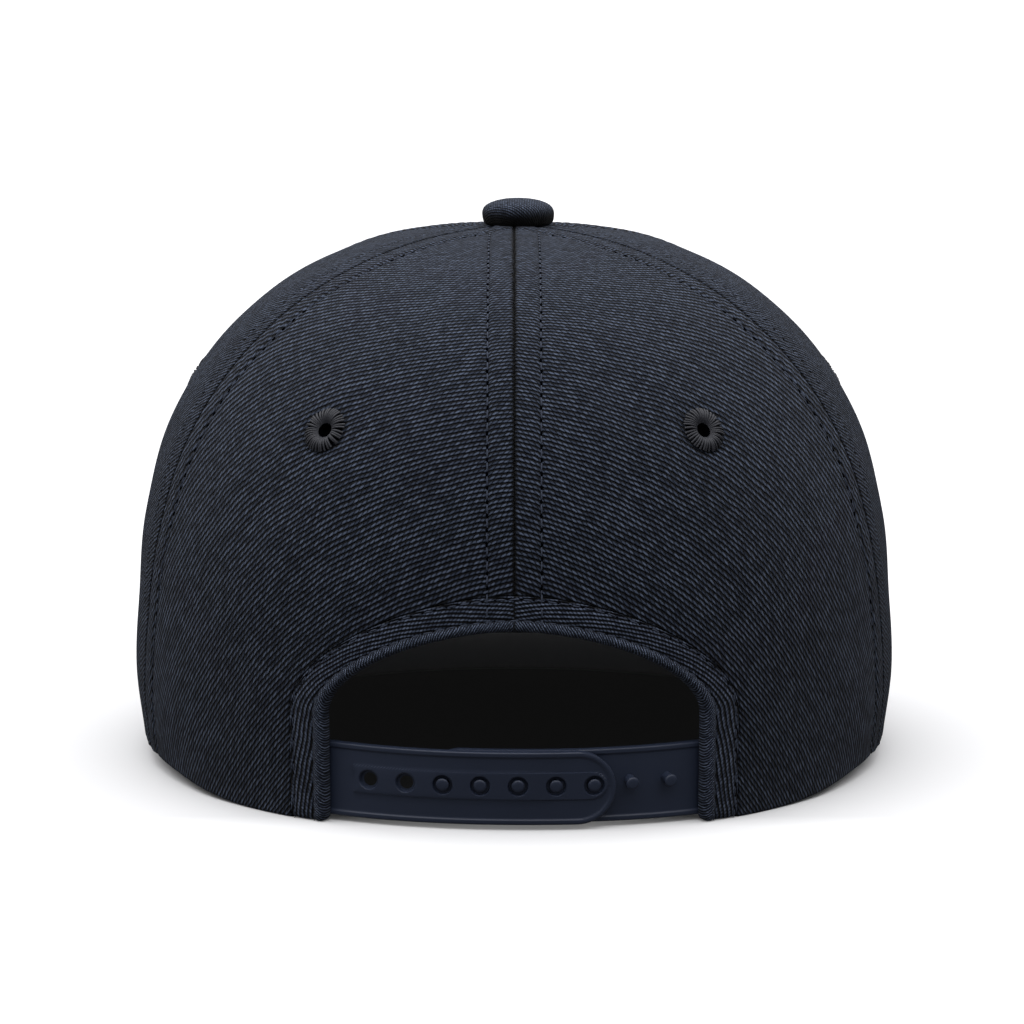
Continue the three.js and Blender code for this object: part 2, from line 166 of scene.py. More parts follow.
# Crown. Sizes are millimetres from the axis under the button, as the cap is cut.
crown = {
    "width": 176, "backReach": 104, "frontReach": 95, "height": 122, "cloth": 1.6,
    "backRoundness": 2.1, "frontRoundness": 2.0, "rimLift": 4.0, "peakCurve": 8, "flatRim": 0.6,
    "buttonHole": 1.7, "frontSeam": 36,
}
crownShape = {                               # from the rim to the top in even steps
    "rise": [0.0, 0.13, 0.28, 0.44, 0.60, 0.74, 0.855, 0.935, 0.983, 1.0],
    "side": [0.99, 1.008, 1.0, 0.981, 0.924, 0.82, 0.677, 0.503, 0.295, 0.0],
    "back": [0.965, 0.985, 1.0, 0.985, 0.93, 0.84, 0.71, 0.53, 0.29, 0.0],
    "front": [1.0, 0.99, 0.975, 0.95, 0.90, 0.82, 0.71, 0.54, 0.29, 0.0],
    "seam": [20, 21.5, 23.5, 26.5, 28.5, 31.5, 35.5, 39, 41, 41],
}
sideReach = crown["width"] / 2
peakCurveReach = sideReach * crownShape["side"][0] - crown["cloth"]
topRun = sideReach * crownShape["side"][-2] * (len(crownShape["side"]) - 1)
topShare = 1 - crown["buttonHole"] / topRun


def crownColumn(name, share, mirror=-1):
    rows = np.array(crownShape[name], float)
    last = len(rows) - 1
    rows = np.concatenate([[2 * rows[0] - rows[1]], rows, [mirror * rows[last - 1]]])
    place = np.clip(share, 0, 1) * last
    index = np.minimum(np.floor(place).astype(int), last - 1)
    t = place - index
    before, start, end, after = (rows[index + step] for step in range(4))
    curve = 2 * before - 5 * start + 4 * end - after
    twist = 3 * (start - end) + after - before
    return start + 0.5 * t * (end - before + t * (curve + t * twist))


def smoothStep(value, low, high):
    t = np.clip((value - low) / (high - low), 0, 1)
    return t * t * (3 - 2 * t)


def bell(value, middle, width):
    return np.exp(-((value - middle) / width) ** 2)


def planRadius(angle):
    isBack = np.sin(angle) < 0
    reach = np.where(isBack, crown["backReach"], crown["frontReach"])
    power = np.where(isBack, crown["backRoundness"], crown["frontRoundness"])
    across = (np.abs(np.cos(angle)) / sideReach) ** power
    along = (np.abs(np.sin(angle)) / reach) ** power
    return (across + along) ** (-1 / power)


def frontRimHeight(x):
    return crown["rimLift"] + crown["peakCurve"] * np.maximum(1 - (x / peakCurveReach) ** 2, 0)


def rimHeight(angle):
    flat = crown["rimLift"] * smoothStep(np.abs(np.cos(angle)), crown["flatRim"], 1)
    return np.where(np.sin(angle) >= 0, frontRimHeight(planRadius(angle) * np.cos(angle)), flat)


def crownPoint(angle, share):
    angle, share = np.broadcast_arrays(np.asarray(angle, float), np.asarray(share, float))
    end = np.where(np.sin(angle) < 0, crownColumn("back", share), crownColumn("front", share))
    sideShare = np.cos(angle) ** 2
    reach = sideShare * crownColumn("side", share) + (1 - sideShare) * end
    radius = planRadius(angle) * reach
    rim = rimHeight(angle)
    height = rim + (crown["height"] - rim) * crownColumn("rise", share, 1)
    return np.stack([radius * np.cos(angle), radius * np.sin(angle), height], -1)


def unit(vectors):
    return vectors / np.maximum(np.linalg.norm(vectors, axis=-1, keepdims=True), 1e-12)


def crownNormal(angle, share):
    step = 0.002
    around = crownPoint(angle + step, share) - crownPoint(angle - step, share)
    upward = crownPoint(angle, np.minimum(share + step, 1)) - crownPoint(angle, np.maximum(share - step, 0))
    return unit(np.cross(around, upward))


def wallPoint(angle, share, depth):
    angle, share = np.broadcast_arrays(np.asarray(angle, float), np.asarray(share, float))
    point = crownPoint(angle, share) - crownNormal(angle, share) * np.asarray(depth)[..., None]
    rim = np.where(np.sin(angle) < 0, rimHeight(angle), frontRimHeight(point[..., 0]))
    level = 1 - smoothStep(share, 0, 0.012)  # near the rim the wall is cut level
    point[..., 2] += level * (rim - crownPoint(angle, 0)[..., 2])
    atRim = share <= 0
    point[..., 2] = np.where(atRim, rim, point[..., 2])
    return point


def solveRising(rising, target, low, high):
    low = np.full(np.shape(target), low, float)
    high = np.full(np.shape(target), high, float)
    for _ in range(36):
        middle = (low + high) / 2
        isLow = rising(middle) < target
        low = np.where(isLow, middle, low)
        high = np.where(isLow, high, middle)
    return (low + high) / 2


riseTable = np.linspace(0, 1, 2001)
riseValues = crownColumn("rise", riseTable, 1)


def shareAtHeight(angle, height):
    rim = rimHeight(angle)
    return np.interp((height - rim) / (crown["height"] - rim), riseValues, riseTable)


def backPlace(x, height):                    # angle and share of a place seen from behind
    angle = solveRising(lambda a: crownPoint(a, shareAtHeight(a, height))[..., 0], x, -math.pi, 0)
    return angle, shareAtHeight(angle, height)


def backPoint(x, height, depth):
    x, height, depth = np.broadcast_arrays(*(np.asarray(v, float) for v in (x, height, depth)))
    angle, share = backPlace(x, height)
    return wallPoint(angle, share, depth)


def toFrame(points):                         # crown millimetres to the frame's metres
    moved = np.array(points, float) / 1000
    moved[..., 1] += axisY
    return moved


# Mesh makers

def makeObject(name, points, faces, materials, uv=None, marks=None, zones=None, sharpAngle=40):
    mesh = bpy.data.meshes.new(name)
    mesh.from_pydata([tuple(p) for p in toFrame(points)], [], [tuple(map(int, f)) for f in faces])
    for material in materials:
        mesh.materials.append(material)
    corner = np.empty(len(mesh.loops), int)
    mesh.loops.foreach_get("vertex_index", corner)
    if uv is not None:
        layer = mesh.uv_layers.new(name="cloth")
        layer.data.foreach_set("uv", np.asarray(uv, float)[corner].ravel())
    for mark, values in (marks or {}).items():
        attribute = mesh.attributes.new(mark, "FLOAT", "POINT")
        attribute.data.foreach_set("value", np.asarray(values, float))
    if zones is not None:
        mesh.polygons.foreach_set("material_index", np.asarray(zones, int))
    mesh.polygons.foreach_set("use_smooth", [True] * len(mesh.polygons))
    mesh.update()
    turnOut(mesh)
    mesh.set_sharp_from_angle(angle=math.radians(sharpAngle))
    return addObject(name, mesh)


def turnOut(mesh):                           # all faces point outwards
    work = bmesh.new()
    work.from_mesh(mesh)
    bmesh.ops.recalc_face_normals(work, faces=work.faces)
    work.to_mesh(mesh)
    work.free()


def insideLoop(points, loop):
    inside = np.zeros(len(points), bool)
    for (ax, ay), (bx, by) in zip(loop, np.roll(loop, -1, axis=0)):
        if ay == by:
            continue
        crosses = (points[:, 1] < ay) != (points[:, 1] < by)
        at = ax + (points[:, 1] - ay) * (bx - ax) / (by - ay)
        inside ^= crosses & (points[:, 0] < at)
    return inside


def fillRegion(points, rimLoop, holes=()):
    edges = []
    for loop in (rimLoop, *holes):
        edges += list(zip(loop, list(loop[1:]) + [loop[0]]))
    found = delaunay_2d_cdt([Vector(p) for p in points], edges, [], 0, 1e-7)
    source = [own[0] for own in found[3]]
    triangles = np.array([[source[v] for v in face] for face in found[2]])
    middle = points[triangles].mean(axis=1)
    keep = insideLoop(middle, points[list(rimLoop)])
    for hole in holes:
        keep &= ~insideLoop(middle, points[list(hole)])
    return triangles[keep]


def slabFaces(triangles, count):             # outer sheet, inner sheet and the walls between them
    directed = {}
    for a, b, c in triangles:
        for edge in ((a, b), (b, c), (c, a)):
            directed[edge] = True
    walls = [(b, a, a + count, b + count) for a, b in directed if (b, a) not in directed]
    outer = [tuple(t) for t in triangles]
    inner = [(c + count, b + count, a + count) for a, b, c in triangles]
    zones = [0] * len(outer) + [1] * len(inner) + [0] * len(walls)
    return outer + inner + walls, zones


# Shader groups, each built once and set with its own values in every finish

def newGroup(name, inputs, outputs):
    tree = bpy.data.node_groups.new(name, "ShaderNodeTree")
    for label, kind, value in inputs:
        socket = tree.interface.new_socket(label, in_out="INPUT", socket_type=kind)
        if value is not None:
            socket.default_value = value
    for label, kind in outputs:
        tree.interface.new_socket(label, in_out="OUTPUT", socket_type=kind)
    return tree, tree.nodes.new("NodeGroupInput").outputs, tree.nodes.new("NodeGroupOutput").inputs


def calc(tree, operation, *values, clamp=False):
    inputs = dict(enumerate(values))
    return addNode(tree, "ShaderNodeMath", inputs, operation=operation, use_clamp=clamp).outputs[0]


def remap(tree, value, low, high):
    return addNode(tree, "ShaderNodeMapRange", {
        "Value": value, "From Min": low, "From Max": high}, interpolation_type="SMOOTHSTEP").outputs["Result"]


def noise(tree, place, scale, detail=2.0, roughness=0.5):
    return addNode(tree, "ShaderNodeTexNoise", {
        "Vector": place, "Scale": scale, "Detail": detail, "Roughness": roughness}).outputs["Fac"]


floatKind = "NodeSocketFloat"


def makeTwillGroup():                        # ridges of slanted yarns, on a cloth map in millimetres
    tree, given, result = newGroup(
        "twillWeave",
        [("Cloth place", "NodeSocketVector", None), ("Ridge pitch", floatKind, 1.08),
         ("Ridge angle", floatKind, 0.5), ("Yarn length", floatKind, 1.3), ("Waver", floatKind, 0.5)],
        [("Height", floatKind), ("Groove shade", floatKind), ("Fleck", floatKind)])
    split = addNode(tree, "ShaderNodeSeparateXYZ", {0: given["Cloth place"]})
    cosine = calc(tree, "COSINE", given["Ridge angle"])
    sine = calc(tree, "SINE", given["Ridge angle"])
    across = calc(tree, "ADD", calc(tree, "MULTIPLY", split.outputs["X"], sine),
                  calc(tree, "MULTIPLY", split.outputs["Y"], cosine))
    along = calc(tree, "SUBTRACT", calc(tree, "MULTIPLY", split.outputs["Y"], sine),
                 calc(tree, "MULTIPLY", split.outputs["X"], cosine))
    slow = calc(tree, "SUBTRACT", noise(tree, given["Cloth place"], 0.11, 1.0), 0.5)
    quick = calc(tree, "SUBTRACT", noise(tree, given["Cloth place"], 0.9, 2.0), 0.5)
    waver = calc(tree, "MULTIPLY", calc(tree, "MULTIPLY_ADD", slow, 3.0, quick), given["Waver"])
    ridges = calc(tree, "ADD", calc(tree, "DIVIDE", across, given["Ridge pitch"]), waver)
    ridge = calc(tree, "FLOOR", ridges)
    part = calc(tree, "SUBTRACT", ridges, ridge)
    fromMiddle = calc(tree, "ABSOLUTE", calc(tree, "MULTIPLY_ADD", part, 2.0, -1.0))
    dome = calc(tree, "SQRT", calc(tree, "SUBTRACT", 1.0, calc(tree, "POWER", fromMiddle, 2.4), clamp=True))
    yarns = calc(tree, "DIVIDE", along, given["Yarn length"])
    slanted = calc(tree, "ADD", calc(tree, "MULTIPLY_ADD", part, -0.9, yarns),
                   calc(tree, "MULTIPLY_ADD", ridge, 0.37, calc(tree, "MULTIPLY", quick, 0.8)))
    yarn = calc(tree, "FLOOR", slanted)
    yarnPart = calc(tree, "SUBTRACT", slanted, yarn)
    fromYarn = calc(tree, "ABSOLUTE", calc(tree, "MULTIPLY_ADD", yarnPart, 2.0, -1.0))
    notch = calc(tree, "POWER", fromYarn, 3.0)
    height = calc(tree, "MULTIPLY", dome, calc(tree, "MULTIPLY_ADD", notch, -0.5, 1.0))
    cell = addNode(tree, "ShaderNodeCombineXYZ", {0: ridge, 1: yarn})
    fleck = addNode(tree, "ShaderNodeTexWhiteNoise", {"Vector": cell.outputs[0]}, noise_dimensions="2D")
    tree.links.new(height, result["Height"])
    # painted shade: this mask darkens the grooves between ridges and between yarns
    grain = calc(tree, "MULTIPLY_ADD", calc(tree, "POWER", fromMiddle, 2.0), 1.9,
                 calc(tree, "MULTIPLY", calc(tree, "POWER", fromYarn, 2.0), 0.5))
    tree.links.new(remap(tree, calc(tree, "SQRT", grain), 0.2, 1.0), result["Groove shade"])
    tree.links.new(fleck.outputs["Value"], result["Fleck"])
    return tree


def makeWearGroup():                         # soft uneven tone and a little pale fuzz
    tree, given, result = newGroup(
        "softWear",
        [("Place", "NodeSocketVector", None), ("Patch size", floatKind, 30.0), ("Depth", floatKind, 0.2)],
        [("Tone", floatKind), ("Fuzz", floatKind)])
    scaled = addNode(
        tree, "ShaderNodeVectorMath", {0: given["Place"], "Scale": given["Patch size"]}, operation="SCALE")
    broad = calc(tree, "SUBTRACT", noise(tree, scaled.outputs[0], 1.0, 4.0, 0.6), 0.5)
    tree.links.new(calc(tree, "MULTIPLY_ADD", broad, given["Depth"], 1.0), result["Tone"])
    fine = noise(tree, scaled.outputs[0], 45.0, 2.0)
    tree.links.new(remap(tree, fine, 0.55, 0.8), result["Fuzz"])
    return tree


twillWeave = makeTwillGroup()
softWear = makeWearGroup()


def placeGroup(tree, group, values):
    return addNode(tree, "ShaderNodeGroup", values, node_tree=group).outputs


def mixColour(tree, factor, first, second, blend="MIX"):
    node = addNode(tree, "ShaderNodeMix", data_type="RGBA", blend_type=blend)
    sockets = {socket.identifier: socket for socket in node.inputs}
    for key, value in (("Factor_Float", factor), ("A_Color", first), ("B_Color", second)):
        setSocket(tree, sockets[key], value)
    return next(socket for socket in node.outputs if socket.identifier == "Result_Color")


def makeBump(tree, height, surface, distance, strength=1.0):
    bump = addNode(tree, "ShaderNodeBump", {"Distance": distance, "Strength": strength, "Height": height})
    setSocket(tree, surface.inputs["Normal"], bump.outputs[0])


def mark(tree, name):                        # a value that the mesh carries at each point
    return addNode(tree, "ShaderNodeAttribute", attribute_name=name).outputs["Fac"]


def objectPlace(tree):
    return addNode(tree, "ShaderNodeTexCoord").outputs["Object"]


def setTone(tree, surface, colour, wear):    # the colour with its soft uneven tone
    setSocket(tree, surface.inputs["Base Color"], mixColour(tree, 1.0, colour, wear["Tone"], "MULTIPLY"))


def makeTwill(name, look):
    material, tree, surface = newMaterial(name, look["roughness"], look["sheen"], 0.45, look["specular"])
    cloth = addNode(tree, "ShaderNodeUVMap", uv_map="cloth")
    weave = placeGroup(tree, twillWeave, {
        "Ridge pitch": look["pitch"], "Ridge angle": math.radians(look["angle"]),
        "Yarn length": look["yarn"], "Waver": look["waver"], "Cloth place": cloth.outputs[0]})
    wear = placeGroup(tree, softWear, {
        "Patch size": 40.0, "Depth": look["patch"], "Place": objectPlace(tree)})
    yarnTone = mixColour(tree, weave["Fleck"], look["yarnDark"], look["yarnLight"])
    # painted shade: the grooves are coloured darker
    woven = mixColour(tree, weave["Groove shade"], yarnTone, look["grooveShade"])
    toned = mixColour(tree, 1.0, woven, wear["Tone"], "MULTIPLY")
    # painted shade: the mark darkens the colour towards near black where seams, rows and folds lie
    shadedCreases = mixColour(tree, mark(tree, "creaseShade"), toned, look["creaseShadeColour"])
    tree.links.new(shadedCreases, surface.inputs["Base Color"])
    rough = calc(tree, "MULTIPLY_ADD", wear["Fuzz"], 0.15, look["roughness"] - 0.05)
    tree.links.new(rough, surface.inputs["Roughness"])
    makeBump(tree, weave["Height"], surface, look["relief"], look["bump"])
    return material


# painted shade: the groove colour darkens the grooves between yarns, and the crease colour darkens seams,
# stitch rows and folds
clothLook = {
    "pitch": 1.0, "angle": 29, "yarn": 1.25, "waver": 0.30, "patch": 0.35, "relief": 0.0004, "bump": 1.0,
    "yarnDark": (0.021, 0.0275, 0.044, 1), "yarnLight": (0.064, 0.0805, 0.119, 1),
    "grooveShade": (0.0008, 0.0010, 0.0018, 1), "creaseShadeColour": (0.0003, 0.0003, 0.0005, 1),
    "roughness": 0.9, "sheen": 0.035, "specular": 0.06,
}
hemLook = dict(
    clothLook, angle=-9, yarn=0.8, pitch=0.9, yarnDark=(0.034, 0.043, 0.067, 1),
    yarnLight=(0.098, 0.121, 0.176, 1))
rollLook = dict(
    hemLook, angle=48, yarn=0.5, pitch=0.5, waver=0.9, relief=0.00025, grooveShade=(0.003, 0.0037, 0.006, 1),
    yarnDark=(0.036, 0.046, 0.071, 1), yarnLight=(0.125, 0.154, 0.222, 1))
buttonLook = dict(
    clothLook, angle=35, yarn=0.7, pitch=0.66, relief=0.0003, grooveShade=(0.004, 0.005, 0.008, 1),
    yarnDark=(0.029, 0.037, 0.058, 1), yarnLight=(0.080, 0.100, 0.146, 1))
peakLook = dict(clothLook, angle=61)
bandLook = dict(
    clothLook, pitch=0.7, yarn=0.8, relief=0.00015, patch=0.2, grooveShade=(0.006, 0.006, 0.0064, 1),
    yarnDark=(0.015, 0.015, 0.0155, 1), yarnLight=(0.024, 0.024, 0.025, 1), sheen=0.03)
twill = makeTwill("navyTwill", clothLook)
hemTwill = makeTwill("hemTwill", hemLook)
rollTwill = makeTwill("rolledEdge", rollLook)
buttonTwill = makeTwill("buttonCloth", buttonLook)
peakTwill = makeTwill("peakTwill", peakLook)
bandCloth = makeTwill("bandCloth", bandLook)


def makeBacking():                           # dark stiffened cloth on the inner side of the crown
    material, tree, surface = newMaterial("crownBacking", 0.95, 0.0, 0.5, 0.1)
    place = objectPlace(tree)
    wear = placeGroup(tree, softWear, {"Patch size": 60.0, "Depth": 0.5, "Place": place})
    weave = addNode(tree, "ShaderNodeTexVoronoi", {"Scale": 1400, "Vector": place})
    grain = mixColour(tree, remap(tree, weave.outputs["Distance"], 0.1, 0.6),
                      (0.012, 0.012, 0.0125, 1), (0.006, 0.006, 0.0065, 1))
    setTone(tree, surface, grain, wear)
    makeBump(tree, weave.outputs["Distance"], surface, 0.0002, 0.5)
    return material


def makeThread(name, dark, pale, shine):
    material, tree, surface = newMaterial(name, shine, 0.03, 0.35, 0.2)
    place = objectPlace(tree)
    wear = placeGroup(tree, softWear, {"Patch size": 300.0, "Depth": 0.6, "Place": place})
    fibre = noise(tree, place, 5200)
    setTone(tree, surface, mixColour(tree, fibre, dark, pale), wear)
    makeBump(tree, fibre, surface, 0.00006, 0.7)
    return material


def makePlastic():
    material, tree, surface = newMaterial("strapPlastic", plasticLook["roughness"], 0.0, 0.5, 0.35)
    place = objectPlace(tree)
    wear = placeGroup(tree, softWear, {"Patch size": 55.0, "Depth": 0.25, "Place": place})
    body = mixColour(tree, wear["Fuzz"], plasticLook["body"], plasticLook["scuff"])
    setTone(tree, surface, body, wear)
    rough = calc(tree, "MULTIPLY_ADD", wear["Fuzz"], 0.12, plasticLook["roughness"])
    tree.links.new(rough, surface.inputs["Roughness"])
    grain = noise(tree, place, 2600)
    makeBump(tree, grain, surface, plasticLook["grain"], 0.5)
    return material


plasticLook = {
    "body": (0.0165, 0.0225, 0.041, 1), "scuff": (0.0185, 0.025, 0.0445, 1), "roughness": 0.45,
    "grain": 0.00004,
}
backing = makeBacking()
seamThread = makeThread("seamThread", (0.015, 0.019, 0.030, 1), (0.036, 0.044, 0.066, 1), 0.8)
satinThread = makeThread("eyeletThread", (0.006, 0.0064, 0.0082, 1), (0.028, 0.0295, 0.0365, 1), 0.5)
# painted shade: a near-black finish for needle holes and the eyelets' sleeves
needleHoleShade, _, holeShadeSurface = newMaterial("needleHoleShade", 1.0, specular=0.0)
holeShadeSurface.inputs["Base Color"].default_value = (0.0008, 0.0009, 0.0014, 1)
plastic = makePlastic()
print("finishes made")


# Panels. Each is filled with points that crowd at its seams, at the back opening and at its eyelet.
panelCut = {
    "rowStep": 1.1, "columnStep": 2.3, "seamGap": 0.01, "rimSteps": (0, 0.25, 0.6),
    "edgeSteps": (0, 0.12, 0.3, 0.55, 0.9, 1.4, 2.1, 3.0, 4.0, 5.0, 5.7, 6.4, 7.2, 8.2, 9.5),
    "roll": 0.9, "hemRoll": 0.32, "rimRoll": 0.6, "allowance": 0.28, "dip": 0.34, "dipWidth": 0.6,
    "unevenness": 0.22, "archReach": 3.5, "archClear": 0.7, "archStep": 1.3, "eyeletClear": 3.2,
    "eyeletRings": (3.1, 3.8, 4.4, 4.8, 5.2, 5.7, 6.4, 7.3), "ringCount": 44,
}
seams = {                                    # stitch is how far the rows lie from the seam
    "centreBack": {"angle": lambda share: -90 + 0 * share, "stitch": 5.8, "pucker": 0.05},
    "sideBack": {"angle": lambda share: -crownColumn("seam", share, 1), "stitch": 6.8, "pucker": 0.15},
    "sideFront": {"angle": lambda share: crown["frontSeam"] + 0 * share, "stitch": 6.4, "pucker": 0.12},
    "centreFront": {"angle": lambda share: 90 + 0 * share, "stitch": 5.8, "pucker": 0.06},
}
panelSeams = {
    "back": ("centreBack", "sideBack"),
    "side": ("sideBack", "sideFront"),
    "front": ("sideFront", "centreFront"),
}
arch = {"halfWidth": 41, "height": 44.5, "spring": 25, "roundness": 1.75, "straight": 0.35}
hem = {
    "width": 7.6, "depth": 2.1, "proud": 0.35, "gap": 0.12, "innerRow": 2.4, "outerRow": 6.9,
    "acrossSteps": (
        0, 0.1, 0.25, 0.45, 0.75, 1.1, 1.5, 1.85, 2.1, 2.3, 2.5, 2.7, 3.0, 3.6, 4.2, 4.9,
        5.6, 6.2, 6.55, 6.8, 7.0, 7.15, 7.3, 7.42, 7.52, 7.6),
    "runSteps": (0, 0.1, 0.25, 0.45, 0.7, 1.0, 1.5, 2.1), "rowStep": 0.8,
    "rollHeight": 0.55, "dip": 0.22, "dipWidth": 0.4, "footRound": 2.0, "seamRoll": 0.35,
}
eyelet = {
    "level": 0.515, "across": {"back": 0.463, "side": 0.62, "front": 0.555}, "outer": 5.0, "bore": 1.6,
    "sleeve": 2.3, "threads": 38, "threadRadius": 0.28, "threadInset": 0.25, "outerInset": 0.2,
    "pull": 0.35, "clearance": 0.15, "crownHeight": 1.5,
}
drape = {                                    # slopes hold at the level; above it the ridges lie closer
    "slope": {"Left": 0.20, "Right": 0.31}, "turn": 0.0107, "bend": -0.000014, "fan": 0.007, "level": 57,
    "pitch": 1.06, "closer": 0.0018, "sag": 0.25,
}
stitching = {
    "pitch": 3.05, "length": 2.15, "hole": 0.45, "thread": 0.2, "bulge": 0.22, "turn": 0.07, "seed": 7,
}


def seamAngle(name, share, direction):
    angle = np.radians(seams[name]["angle"](np.asarray(share, float)))
    edge = crownPoint(angle, share)
    return angle + direction * panelCut["seamGap"] / np.hypot(edge[..., 0], edge[..., 1])


class PanelMap:                              # lays a panel flat, in millimetres, and back again
    def __init__(self, zone):
        self.zone = zone
        self.fromSeam, self.toSeam = panelSeams[zone]
        self.shares = np.linspace(0, topShare, 260)
        self.parts = np.linspace(0, 1, 241)
        self.first = seamAngle(self.fromSeam, self.shares, 1)
        self.last = seamAngle(self.toSeam, self.shares, -1)
        angles = self.first[:, None] + (self.last - self.first)[:, None] * self.parts
        points = crownPoint(angles, self.shares[:, None])
        steps = np.linalg.norm(np.diff(points, axis=1), axis=-1)
        self.arc = np.concatenate([np.zeros((len(self.shares), 1)), np.cumsum(steps, axis=1)], axis=1)
        middle = points[:, len(self.parts) // 2]
        rises = np.linalg.norm(np.diff(middle, axis=0), axis=-1)
        self.rise = np.concatenate([[0], np.cumsum(rises)])

    def arcRow(self, share):
        place = np.clip(share / topShare, 0, 1) * (len(self.shares) - 1)
        low = min(int(place), len(self.shares) - 2)
        return self.arc[low] + (self.arc[low + 1] - self.arc[low]) * (place - low)

    def width(self, share):
        return np.interp(share, self.shares, self.arc[:, -1])

    def part(self, share, distance):         # distances from the first seam, all at one share
        return np.interp(distance, self.arcRow(share), self.parts)

    def angle(self, part, share):
        first = np.interp(share, self.shares, self.first)
        return first + (np.interp(share, self.shares, self.last) - first) * part

    def flat(self, part, share):             # place across from the panel's middle, and height up it
        distance = np.array([np.interp(p, self.parts, self.arcRow(s)) for p, s in zip(part, share)])
        return np.stack([distance - self.width(share) / 2, np.interp(share, self.shares, self.rise)], -1)

    def seat(self):                          # the eyelet's middle on the flat panel
        return self.flat([eyelet["across"][self.zone]], [eyelet["level"]])[0]

    def lift(self, flat):                    # part and share of places on the flat panel
        share = np.interp(flat[:, 1], self.rise, self.shares)
        distance = flat[:, 0] + self.width(share) / 2
        return np.array([self.part(s, d) for s, d in zip(share, distance)]), share


def spread(length, steps, step):             # places along a length, crowded at both of its ends
    near = [s for s in steps if s < length / 2 - step * 0.3]
    reach = near[-1]
    count = max(int(round((length - 2 * reach) / step)), 1)
    middle = np.linspace(reach, length - reach, count + 1)[1:-1]
    return np.concatenate([near, middle, length - np.array(near[::-1])])


def archLine(outside, count=600):            # from the top of the opening down to the rim, on the right
    share = np.linspace(1, 0, count)
    turn = np.clip((share - arch["straight"]) / (1 - arch["straight"]), 0, 1) * math.pi / 2
    across = np.maximum(np.cos(turn), 0) ** (2 / arch["roundness"])
    up = np.sin(turn) ** (2 / arch["roundness"])
    halfWidth = arch["halfWidth"] + outside
    rise = arch["height"] - arch["spring"] + outside
    x = halfWidth * across
    side = arch["spring"] * share / arch["straight"]
    z = np.where(share < arch["straight"], side, arch["spring"] + rise * up)
    return np.stack([x, z], -1)


def alongLine(line, distances):
    run = np.concatenate([[0], np.cumsum(np.linalg.norm(np.diff(line, axis=0), axis=1))])
    return np.stack([np.interp(distances, run, line[:, axis]) for axis in range(line.shape[1])], -1)


def lineLength(line):
    return float(np.linalg.norm(np.diff(line, axis=0), axis=1).sum())


def archDistance(x, z):                      # how far a place is outside the opening's edge
    x = np.abs(x)
    power = arch["roundness"]
    rise = arch["height"] - arch["spring"]

    def outsideShape(distance):
        across = (x / (arch["halfWidth"] + distance)) ** power
        up = (np.maximum(z - arch["spring"], 0) / (rise + distance)) ** power
        return -(across + up)

    found = solveRising(outsideShape, np.full(np.shape(x), -1.0), -15.0, 140.0)
    return np.where(z <= arch["spring"], x - arch["halfWidth"], found)


def rollDepth(distance, radius):             # a rounded edge
    inside = np.clip(radius - distance, 0, radius)
    return radius - np.sqrt(np.maximum(radius ** 2 - inside ** 2, 0))


def seamDepth(distance, along, name):
    look = seams[name]
    row = look["stitch"]
    depth = rollDepth(distance, panelCut["roll"])
    depth += panelCut["dip"] * bell(distance, row, panelCut["dipWidth"])
    depth -= panelCut["allowance"] * (1 - smoothStep(distance, row - 0.8, row + 0.9))
    wave = np.sin(2 * math.pi * (along + 0.55 * distance) / stitching["pitch"]
                  + 1.3 * np.sin(along * 0.21 + row))
    reach = bell(distance, row * 0.62, row * 0.42)
    reach = reach + 0.5 * bell(distance - row, 1.5, 1.2)
    return depth + look["pucker"] * wave * reach * (0.75 + 0.25 * np.sin(along * 0.11 + 2))


def panelDepth(mapping, point, share, flat, seatFlat):
    width = mapping.width(share)
    fromFirst, fromLast = flat[:, 0] + width / 2, width / 2 - flat[:, 0]
    along = flat[:, 1]
    depth = seamDepth(fromFirst, along, mapping.fromSeam) + seamDepth(fromLast, along, mapping.toSeam)
    depth += rollDepth(along, panelCut["rimRoll"])
    uneven = np.sin(flat[:, 0] * 0.083 + 1) * np.sin(along * 0.061 + 0.5) + 0.6 * np.sin(
        flat[:, 0] * 0.21 + along * 0.05) * np.sin(along * 0.13 + 1.7)
    inner = smoothStep(np.minimum(fromFirst, fromLast), 6, 16)
    depth += panelCut["unevenness"] * uneven * inner
    fromEyelet = np.linalg.norm(flat - seatFlat, axis=1)
    depth += eyelet["pull"] * bell(fromEyelet, eyelet["outer"], 1.3)
    # painted shade: a mark that darkens the colour at the seam edges, the stitch rows, round the eyelet and
    # along the hem's edge
    creaseShade = 1 - smoothStep(np.minimum(fromFirst, fromLast), 0.15, 0.75)
    for distance, seam in ((fromFirst, mapping.fromSeam), (fromLast, mapping.toSeam)):
        creaseShade = np.maximum(creaseShade, 0.55 * bell(distance, seams[seam]["stitch"], 0.35))
    creaseShade = np.maximum(creaseShade, 0.5 * bell(fromEyelet, eyelet["outer"], 0.5))
    if mapping.zone == "back":
        outside = archDistance(point[:, 0], point[:, 2]) - hem["width"] - hem["gap"]
        depth += rollDepth(np.maximum(outside, 0), panelCut["hemRoll"])
        creaseShade = np.maximum(creaseShade, 0.6 * np.exp(-np.maximum(outside, 0) / 0.25))
    return depth, creaseShade


